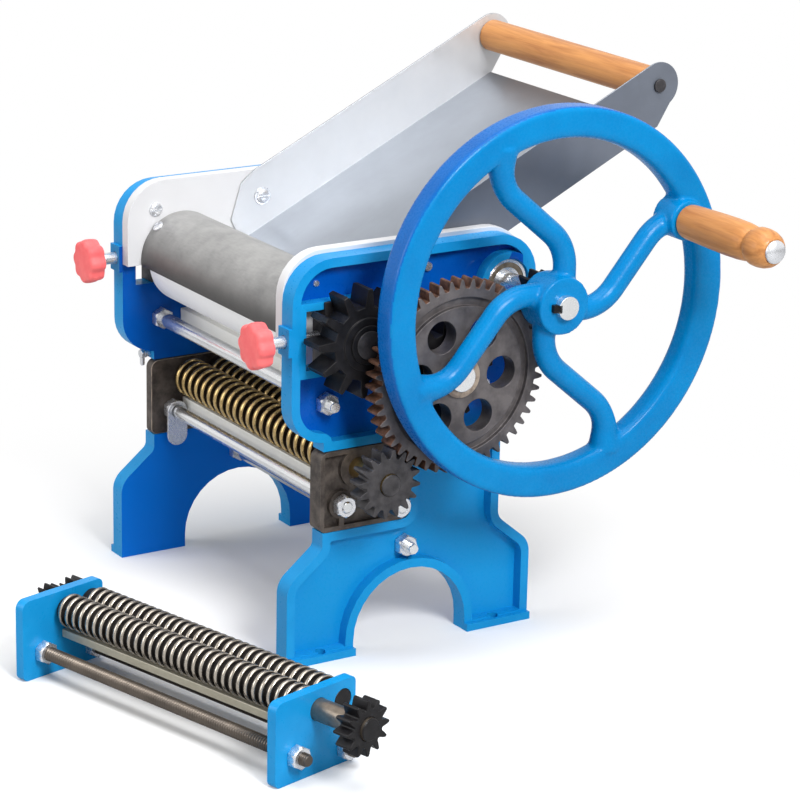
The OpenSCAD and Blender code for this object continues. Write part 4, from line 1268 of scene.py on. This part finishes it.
@dataclass
class Crank:
    """The turned grip, its bolt, the shaft with its key, and the crank bearings.

    The grip's outline is (place from its inner end, radius), with its swell, neck and bead.
    """

    grip_from: float = 185.85
    grip_length: float = 86.0
    grip_bore: float = 5.05
    grip_outline: Profile = (
        (0, 9.8), (1.2, 10.9), (4, 11.3), (14, 11.6), (30, 12.1), (44, 12.3), (56, 12.1), (62, 11.5),
        (64.6, 10.5), (65.6, 10.0), (66.8, 10.2), (68.4, 11.4), (71, 12.35), (75, 12.5), (79, 12.1),
        (82.5, 11.0), (85, 9.4), (86, 8.0),
    )
    bolt_from: float = 164.9
    bolt_radius: tuple[float, float] = (4.9, 4.95)
    bolt_gap: float = 0.3
    head_radius: float = 7.4
    head_edge: float = 0.8
    head_dome: float = 3.2
    dome_steps: int = 8
    seal: tuple[float, float] = (9.9, 13.2)
    sunk: float = 0.7
    race_edge: float = 0.8
    seal_facing: float = 0.7
    shaft_edge: float = 0.8
    key_edge: float = 0.4
    steps: int = 64

    def grip(self) -> None:
        """Turns the wooden grip."""
        bore = [(0, self.grip_bore)]
        outline = bore + list(self.grip_outline) + [(self.grip_length, self.grip_bore)] + bore
        profile = [(self.grip_from + place, r) for place, r in outline]
        dress(lathe("handle_grip_turned", profile, hub("grip_spin"), steps=self.steps), "handle_grip", WOOD)

    def bolt(self) -> None:
        """Turns the bolt of the grip with its domed head."""
        end = self.grip_from + self.grip_length + self.bolt_gap
        head, r = end + self.head_edge, self.head_radius
        inner, outer = self.bolt_radius
        turns = [math.pi / 2 * k / self.dome_steps for k in range(1, self.dome_steps)]
        profile = [(self.bolt_from, THIN), (self.bolt_from, inner), (end, outer), (end, r), (head, r)]
        profile += [(head + self.head_dome * math.sin(t), r * math.cos(t)) for t in turns]
        profile.append((head + self.head_dome, THIN))
        dress(lathe("handle_bolt_turned", profile, hub("grip_spin")), "handle_bolt", ZINC)

    def bearings(self) -> None:
        """Turns the two crank bearings with their races and sunk seals."""
        node = "crank_bearings"
        at = pivot("flywheel_spin")
        inner, outer = self.seal
        pieces = []
        for points in islands(node):
            left, right = (pick(p.x for p in points) / MM for pick in (min, max))
            reach = [(p - at).yz.length / MM for p in points]
            low, high = min(reach), max(reach)
            side = [(0, low), (0, inner), (self.sunk, inner), (self.sunk, outer), (0, outer),
                    (0, high - self.race_edge), (self.race_edge, high)]
            profile = mirrored(side, left, right) + [(left, low)]
            pieces.append(tinted(lathe("bearing", profile, hub("flywheel_spin"), steps=self.steps), STEEL))
        bearing = repainted(joined(node + "_turned", pieces), SEAL, lambda face: (
            abs(face.normal.x) > self.seal_facing and inner < (face.center - at).yz.length / MM < outer))
        dress(bearing, node)

    def build(self) -> None:
        """Makes the grip, the bolt and the bearings, and breaks the edges of the shaft and its key."""
        self.grip()
        self.bolt()
        replace_softly("crank_shaft", self.shaft_edge)
        replace_softly("flywheel_key", self.key_edge)
        self.bearings()


@dataclass
class Drive:
    """The gears of the train and their rings."""

    edge: float = 0.5
    roller_edge: float = 1.1
    spare_edge: float = 0.7
    rust_from: float = 56.5
    rust_facing: float = 0.7

    def rust_teeth(self) -> None:
        """Gives the large gear its lighter face and rusty teeth."""
        node = "large_drive_gear"
        axis = pivot("rear_roller_spin").yz
        wheel = repainted(tinted(softened(node, self.edge), BROWN_CAST), RUST, lambda face: (
            (face.center.yz - axis).length > self.rust_from * MM and abs(face.normal.x) < self.rust_facing))
        dress(wheel, node)

    def build(self) -> None:
        """Replaces each gear and ring by a copy with broken edges."""
        self.rust_teeth()
        for node in ("front_roller_gear", "rear_roller_gear"):
            replace_softly(node, self.roller_edge, steps=3)
        replace_softly("spare_drive_gear", self.spare_edge, steps=3)
        replace_softly("cutter_drive_gear", self.edge, GEAR_CAST)
        for node in ("crank_pinion", "cutter_front_gear", "cutter_rear_gear", "spare_front_gear",
                     "spare_rear_gear", "front_gear_clip"):
            replace_softly(node, self.edge)
        replace_softly("drive_gear_ring", self.edge, WORN)


@dataclass
class PressRollers:
    """The two smooth rollers, the guard over the front one, the scraper bars and the combs."""

    roller_edge: float = 0.8
    guard_edge: float = 0.3
    bar_edge: float = 0.5
    tip_from: float = 123.5
    comb_drop: float = 4.5

    def comb(self) -> None:
        """Replaces the mounted head's comb by a deeper one, whose face reaches down towards the rod."""
        node = "cutter_comb"
        bar = softened(node, self.bar_edge)
        middle = middle_of([vertex.co for vertex in bar.data.vertices]).z
        for vertex in bar.data.vertices:
            if vertex.co.z < middle:
                vertex.co.z -= self.comb_drop * MM
        dress(bar, node, CREAM)

    def build(self) -> None:
        """Replaces the rollers and bars by copies with broken edges."""
        for node, tip in (("front_roller", GEAR_CAST), ("rear_roller", STEEL)):
            roller = tinted(softened(node, self.roller_edge), ROLLER)
            dress(repainted(roller, tip, lambda face: face.center.x > self.tip_from * MM), node)
        replace_softly("roller_guard", self.guard_edge)
        self.comb()
        for node in ("roller_scrapers", "roller_bushes"):
            replace_softly(node, self.bar_edge)
        replace_softly("spare_comb", self.bar_edge, STRIP)


@dataclass
class Knob:
    """One moulded adjusting knob with soft lobes and a flat face, on its screw.

    Its levels are (distance from the rear face, share of the full radius).
    """

    side: str
    outer: float = 15.15
    steps: int = 120
    levels: Profile = (
        (0, 0.2), (0, 0.62), (0.3, 0.84), (1.1, 0.93), (2.6, 0.97), (6.4, 1.0), (9.4, 0.99), (11, 0.96),
        (11.7, 0.91), (12, 0.84), (12, 0.2),
    )
    lobes: int = 8
    lobe_depth: float = 0.115
    lobe_bend: float = 1.4
    lobed_from: float = 0.56
    lobed_over: float = 0.3
    plain: float = 0.92
    screw_edge: float = 0.4

    def radius(self, share: float, angle: float) -> float:
        """Gives the knob's radius at one point.

        Args:
            share: the share of the full radius at this level.
            angle: the angle round the knob.

        Returns:
            The radius, which has lobes only away from the middle of the faces.
        """
        lobed = 1 - self.lobe_depth * (0.5 - 0.5 * math.cos(self.lobes * angle)) ** self.lobe_bend
        weight = min(1.0, max(0.0, (share - self.lobed_from) / self.lobed_over))
        return self.outer * share * (lobed * weight + self.plain * (1 - weight))

    def build(self) -> None:
        """Makes the knob as stacked lobed loops, and breaks the edges of its screw."""
        node = f"{self.side}_knob"
        low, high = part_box(node)
        middle = (low + high) / 2
        bm = bmesh.new()
        rows = []
        for up, share in self.levels:
            row = []
            for a in angles(self.steps):
                r = self.radius(share, a)
                row.append(bm.verts.new((middle.x + r * MM * math.cos(a), high.y - up * MM,
                                         middle.z + r * MM * math.sin(a))))
            rows.append(row)
        bridge(bm, rows, ends=True)
        dress(from_bmesh(node + "_moulded", bm), node, RED)
        replace_softly(f"{self.side}_adjust_screw", self.screw_edge)


@dataclass
class Tray:
    """The folded tray with its pin and wooden roller."""

    sheet_edge: float = 0.35
    pin_edge: float = 0.6
    floor_facing: float = 0.7
    outside_x: float = 60.0
    roller_half: float = 97.8
    roller_radius: float = 11.0
    roller_bore: float = 3.05
    chamfer: float = 0.8
    steps: int = 64

    def build(self) -> None:
        """Replaces the tray and its pin by copies with broken edges, and turns the wooden roller."""
        sheet = tinted(softened("tray", self.sheet_edge), SHEET)
        # Painted shade: the upward-facing floor in a darker copy of the sheet
        repainted(sheet, TRAY_FLOOR_SHADE, lambda face: face.normal.z > self.floor_facing)
        # Painted shade and reflection: the outer faces of the side walls in a darker copy of the sheet
        repainted(sheet, TRAY_OUTSIDE_SHADE, lambda face: face.normal.x * face.center.x > self.outside_x * MM)
        dress(sheet, "tray")
        replace_softly("tray_roller_pin", self.pin_edge, GEAR_CAST)
        half, bore, r = self.roller_half, self.roller_bore, self.roller_radius
        side = [(0, bore), (0, r - self.chamfer), (self.chamfer, r)]
        outline = mirrored(side, -half, half) + [(-half, bore)]
        roller = lathe("tray_roller_turned", outline, hub("tray_roller_spin"), steps=self.steps)
        dress(roller, "tray_roller", WOOD)


@dataclass
class RingedRoller:
    """A cutter roller: a grooved core with a row of rings."""

    node: str
    joint: str
    ring_radius: float
    depth: float
    pitch: float
    shift: float
    journal: float
    ring: Finish
    # The painted shade of the grooves, for the core and the ring flanks
    shaded_groove: Finish
    shaft: Finish
    tip: Finish
    tip_length: float = 14.2
    face: float = 214.0
    ring_gap: float = 0.4
    ring_root: float = 0.2
    crown: float = 0.45
    crown_steps: int = 4
    journal_edge: float = 0.6
    flank_facing: float = 0.985
    steps: int = 40
    ring_steps: int = 56

    def row(self, base: Vector, axis: Vector, zero: float) -> Piece:
        """Repeats the rings along the roller.

        Args:
            base: the point of the axis where the place is zero, in metres.
            axis: the direction of the axis.
            zero: the place of the roller's middle.

        Returns:
            The rings as one object.
        """
        half = (self.pitch / 2 - self.ring_gap) / 2
        soft = 2 * half * self.crown
        root, r = self.ring_radius - self.depth - self.ring_root, self.ring_radius
        corners = [(-half, root), (-half, r), (half, r), (half, root)]
        section = arc_profile(corners, [0, soft, soft, 0], self.crown_steps) + [corners[0]]
        seed = lathe("ring_seed", section, (0, 0, 0), axis, self.ring_steps)
        count = int(self.face // self.pitch)
        start = base + axis * ((zero - (count - 1) / 2 * self.pitch + self.shift) * MM)
        return in_row(seed, "rings", count, start, axis * (self.pitch * MM), self.ring)

    def build(self) -> None:
        """Turns the core and its journals, and sets the rings on it."""
        axis = shaft_axis(self.node)
        reach = [p.dot(axis) / MM for p in islands(self.node)[0]]
        at = pivot(self.joint)
        base = at - axis * at.dot(axis)
        zero = at.dot(axis) / MM if axis.y else 0.0
        half, r, edge = self.face / 2, self.journal / 2, self.journal_edge
        left, right, low, high = min(reach), max(reach), zero - half, zero + half
        core = mirrored([(0, THIN), (0, self.ring_radius - self.depth)], low, high)
        near = [(left, THIN), (left, r - edge), (left + edge, r), (low, r), (low, THIN)]
        far = [(high, THIN), (high, r), (right - edge, r), (right, r - edge), (right, THIN)]
        # The core between the rings is turned in the painted shade of the grooves
        turned = [tinted(lathe("turned", profile, base, axis, self.steps), finish)
                  for profile, finish in ((core, self.shaded_groove), (near, self.shaft), (far, self.shaft))]
        piece = joined(self.node + "_ringed", [*turned, self.row(base, axis, zero)])
        # Painted shade: the ring flanks darkened like the core between them
        repainted(piece, self.shaded_groove, lambda face: (
            abs(face.normal.dot(axis)) > self.flank_facing
            and abs(face.center.dot(axis) / MM - zero) < half))
        repainted(piece, self.tip, lambda face: face.center.dot(axis) / MM > right - self.tip_length)
        dress(piece, self.node)


@dataclass
class Fasteners:
    """Nuts, rods, screws and the small zinc pieces."""

    nut: Nut = Nut()
    thread: float = 8.0
    pitch: float = 1.25
    long_pitch: float = 2.0
    long_from: float = 60.0
    ridge: float = 0.55
    root: float = 0.6
    shoulder: float = 101.5
    neck: float = 6.0
    neck_depth: float = 0.7
    whole_depth: float = 0.9
    end_edge: tuple[float, float] = (0.4, 0.3)
    tie_rod: float = 10.0
    head_rod: float = 9.0
    rod_steps: int = 40
    guard_screw: SlottedScrew = SlottedScrew(8.0, 1.9, 0, 4.0, 0.6)
    guard_seat: float = 0.9
    plate_edge: float = 0.35

    def nuts(self, node: str) -> None:
        """Sets a chamfered nut on the place of each solid of a node.

        Args:
            node: the CAD node of the nuts.
        """
        axis = shaft_axis(node)
        back = axis * (self.nut.thick / 2 * MM)
        seats = [(tuple(middle_of(points) - back), tuple(axis)) for points in islands(node)]
        dress(on_seats(self.nut.seed(), node + "_chamfered", seats, ZINC), node)

    def thread_row(self, base: Vector, axis: Vector, start: float, end: float, diameter: float,
                   finish: Finish) -> Piece:
        """Repeats thread ridges along an axis.

        Args:
            base: the point of the axis where the place is zero, in metres.
            axis: the direction of the axis.
            start: where the thread begins, in millimetres.
            end: where it ends.
            diameter: the thread's outer diameter in millimetres.
            finish: its finish.

        Returns:
            The ridges as one object.
        """
        pitch = self.pitch if end - start < self.long_from else self.long_pitch
        count = int((end - start) / pitch)
        seed = thread_seed(diameter, self.ridge * pitch, pitch, tuple(axis))
        first = base + axis * ((start + pitch / 2) * MM)
        return in_row(seed, "ridges", count, first, axis * (pitch * MM), finish)

    def rods(self, node: str, finish: Finish, thick: float, whole: bool = False) -> None:
        """Replaces a node of rods by turned rods with threaded ends.

        Args:
            node: the CAD node of one rod or more.
            finish: the finish of the rods.
            thick: diameter between the nuts, in millimetres.
            whole: whether the thread runs along the whole rod.
        """
        axis = shaft_axis(node)
        core = self.thread / 2 - self.root
        inner = thick / 2 - self.whole_depth if whole else thick / 2
        waist = inner if whole else thick / 2 - self.neck_depth
        edge, drop = self.end_edge
        pieces = []
        for points in islands(node):
            middle = middle_of(points)
            base = middle - axis * middle.dot(axis)
            reach = [p.dot(axis) / MM for p in points]
            left, right = min(reach), max(reach)
            zero = (left + right) / 2 if axis.y else 0.0
            a, b = zero - self.shoulder, zero + self.shoulder
            profile = [
                (left, THIN), (left, core - drop), (left + edge, core), (a, core), (a, waist),
                *mirrored([(self.neck, waist), (self.neck, inner)], a, b),
                (b, waist), (b, core), (right - edge, core), (right, core - drop), (right, THIN),
            ]
            pieces.append(tinted(lathe("rod", profile, base, axis, self.rod_steps), finish))
            for start, end in ((left + edge, a), (b, right - edge)):
                pieces.append(self.thread_row(base, axis, start, end, self.thread, finish))
            if whole:
                pieces.append(self.thread_row(base, axis, a, b, thick, finish))
        dress(joined(node + "_threaded", pieces), node)

    def side_screws(self, node: str, head: tuple[float, float], washer: float, shank: float,
                    seat: float) -> None:
        """Replaces the screws of a node that sit on the inner side of both walls.

        Args:
            node: the CAD node of the screws.
            head: diameter and height of the head in millimetres.
            washer: diameter of the washer, or 0.
            shank: diameter of the shank.
            seat: distance of the head's seat from the middle of the machine.
        """
        low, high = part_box(node)
        middle = (low + high) / 2
        seed = SlottedScrew(*head, washer, shank, high.x / MM - seat).seed()
        seats = [((s * seat * MM, middle.y, middle.z), (-s, 0, 0)) for s in (1, -1)]
        dress(on_seats(seed, node + "_slotted", seats, ZINC), node)

    def guard_screws(self) -> None:
        """Sets the slotted heads on the guard, square to its curve."""
        node = "guard_screws"
        seats = []
        for points in islands(node):
            middle = middle_of(points)
            out = middle - pivot("front_roller_spin")
            out.x = 0
            out.normalize()
            seats.append((tuple(middle - out * (self.guard_seat * MM)), tuple(out)))
        dress(on_seats(self.guard_screw.seed(), node + "_slotted", seats, ZINC), node)

    def build(self) -> None:
        """Sets the nuts, rods and screws, and breaks the edges of the small plates."""
        for node in ("tie_rod_nuts", "cutter_nuts", "spare_nuts"):
            self.nuts(node)
        for node in ("lower_tie_rod", "upper_tie_rod", "rear_tie_rod"):
            self.rods(node, STEEL, self.tie_rod)
        self.rods("cutter_tie_rods", STEEL, self.head_rod)
        self.rods("spare_tie_rods", THREAD, self.head_rod, whole=True)
        self.side_screws("cheek_screws", head=(9.6, 2.5), washer=0, shank=4.0, seat=100.0)
        self.side_screws("tray_screws", head=(10.0, 3.0), washer=12.4, shank=6.0, seat=98.1)
        self.guard_screws()
        for node in ("cutter_tab", "cutter_latch", "latch_screw"):
            replace_softly(node, self.plate_edge)


# Studio


@dataclass
class Studio:
    """The camera of the photograph, the pale floor and soft light; lengths are in metres."""

    azimuth: float = 57.75
    elevation: float = 17.38
    roll: float = -1.23
    focal_px: float = 3052.81
    distance: float = 2.08062
    origin_px: tuple[float, float] = (314.94, 583.68)
    picture: float = 800.0
    sensor_mm: float = 36.0
    clip: tuple[float, float] = (0.05, 50.0)
    floor_half: float = 6.0
    floor_grey: float = 0.6
    floor_pale: float = 0.95
    middle: Point = (0.08, -0.04, 0.0)
    fade: tuple[float, float] = (0.14, 0.5)
    world_light: float = 0.38

    def camera(self) -> None:
        """Sets the camera from the solved view of the photograph."""
        a, e, r = (math.radians(v) for v in (self.azimuth, self.elevation, self.roll))
        back = Vector((math.sin(a) * math.cos(e), -math.cos(a) * math.cos(e), math.sin(e)))
        forward = -back
        right = forward.cross(Vector((0, 0, 1))).normalized()
        down = forward.cross(right)
        side = math.cos(r) * right + math.sin(r) * down
        under = -math.sin(r) * right + math.cos(r) * down
        scale = self.distance / self.focal_px
        x, y = ((v - self.picture / 2) * scale for v in self.origin_px)
        eye = -(side * x + under * y + forward * self.distance)
        data = bpy.data.cameras.new("camera")
        data.sensor_width = self.sensor_mm
        data.lens = self.focal_px / self.picture * self.sensor_mm
        data.clip_start, data.clip_end = self.clip
        camera = link("camera", data)
        camera.matrix_world = Matrix.Translation(eye) @ Matrix((side, -under, back)).transposed().to_4x4()
        bpy.context.scene.camera = camera

    def floor(self) -> None:
        """Lays a wide pale floor that keeps the shadow near the object and shows white away from it."""
        bm = bmesh.new()
        bmesh.ops.create_grid(bm, x_segments=1, y_segments=1, size=self.floor_half)
        floor = from_bmesh("floor", bm)
        material = bpy.data.materials.new("pale_floor")
        g = emptied(material)
        path = g.add("ShaderNodeLightPath").outputs["Is Camera Ray"]
        tone = g.mixed(path, (*[self.floor_grey] * 3, 1.0), (*[self.floor_pale] * 3, 1.0))
        plain = g.add("ShaderNodeBsdfDiffuse", Color=tone)
        white = g.add("ShaderNodeEmission", Color=(1.0, 1.0, 1.0, 1.0), Strength=1.0)
        at = g.add("ShaderNodeTexCoord").outputs["Object"]
        place = g.listed("ShaderNodeVectorMath", {"operation": "DISTANCE"}, at, self.middle)
        away = g.add("ShaderNodeMapRange", {"interpolation_type": "SMOOTHSTEP"},
                     Value=place.outputs["Value"], From_Min=self.fade[0], From_Max=self.fade[1])
        share = g.listed("ShaderNodeMath", {"operation": "MULTIPLY"}, away.outputs["Result"], path)
        both = g.listed("ShaderNodeMixShader", {}, share.outputs["Value"], plain.outputs["BSDF"],
                        white.outputs["Emission"])
        g.add("ShaderNodeOutputMaterial", Surface=both.outputs["Shader"])
        floor.data.materials.append(material)

    def lamp(self, name: str, place: Point, aim: Point, size: float, watts: float) -> None:
        """Adds one soft lamp.

        Args:
            name: the lamp's name.
            place: where it hangs, in metres.
            aim: the point that it faces.
            size: the side of its square, in metres.
            watts: its power.
        """
        data = bpy.data.lights.new(name, "AREA")
        data.shape = "SQUARE"
        data.size = size
        data.energy = watts
        lamp = link(name, data)
        lamp.location = place
        lamp.rotation_euler = (Vector(aim) - Vector(place)).to_track_quat("-Z", "Y").to_euler()

    def world(self) -> None:
        """Lights the scene from a pale world that shows white behind the object and in reflections."""
        world = bpy.data.worlds.new("studio")
        bpy.context.scene.world = world
        g = emptied(world)
        path = g.add("ShaderNodeLightPath")
        soft = g.add("ShaderNodeBackground", Color=(1.0, 1.0, 1.0, 1.0), Strength=self.world_light)
        white = g.add("ShaderNodeBackground", Color=(1.0, 1.0, 1.0, 1.0), Strength=1.0)
        bounced = g.listed("ShaderNodeMath", {"operation": "MAXIMUM"}, path.outputs["Is Glossy Ray"],
                           path.outputs["Is Transmission Ray"])
        seen = g.listed("ShaderNodeMath", {"operation": "MAXIMUM"}, path.outputs["Is Camera Ray"],
                        bounced.outputs["Value"])
        pick = g.listed("ShaderNodeMixShader", {}, seen.outputs["Value"], soft.outputs["Background"],
                        white.outputs["Background"])
        g.add("ShaderNodeOutputWorld", Surface=pick.outputs["Shader"])

    def build(self) -> None:
        """Sets up view, floor, world and lamps."""
        self.camera()
        self.floor()
        self.world()
        self.lamp("overhead", place=(0.3, 0.0, 1.9), aim=(0, 0, 0.15), size=1.4, watts=22.0)
        self.lamp("front_left", place=(-0.7, -1.8, 0.9), aim=(0, 0, 0.18), size=1.0, watts=13.0)
        self.lamp("right", place=(1.7, -0.1, 1.4), aim=(0, 0, 0.18), size=0.6, watts=32.0)
        bpy.context.scene.view_settings.view_transform = "Standard"


def main() -> None:
    """Builds the finishes, the sub-assemblies and the studio in order."""
    logging.basicConfig(level=logging.INFO, format="%(message)s")
    for build in (cast_skin, drawn_skin, timber_skin, height_blend, row_tree, seat_tree):
        build()
    for node, piece in frame["nodes"].items():
        tinted(piece, SLOT_FINISH[SLOT_OF[node]])
    cutter = dict(ring_radius=13.5, depth=3.5, pitch=9.0, journal=14.0, ring=RING, shaded_groove=GROOVE_SHADE,
                  shaft=BRONZE, tip=GEAR_CAST)
    spare = dict(ring_radius=11.0, depth=2.5, pitch=6.4, journal=14.0, ring=FINE_RING, shaded_groove=FINE_GROOVE_SHADE,
                 shaft=FINE_SHAFT, tip=BLACK)
    parts = [
        Castings(), Flywheel(), Crank(), Drive(), PressRollers(), Knob("right"), Knob("left"), Tray(),
        Fasteners(),
        RingedRoller("cutter_front_roller", "cutter_front_spin", shift=0.0, **cutter),
        RingedRoller("cutter_rear_roller", "cutter_rear_spin", shift=4.5, tip_length=1.0, **cutter),
        RingedRoller("spare_front_roller", "spare_front_spin", shift=0.0, **spare),
        RingedRoller("spare_rear_roller", "spare_rear_spin", shift=3.2, tip_length=1.0, **spare),
        Studio(),
    ]
    for part in parts:
        part.build()


if __name__ == "__main__":
    main()
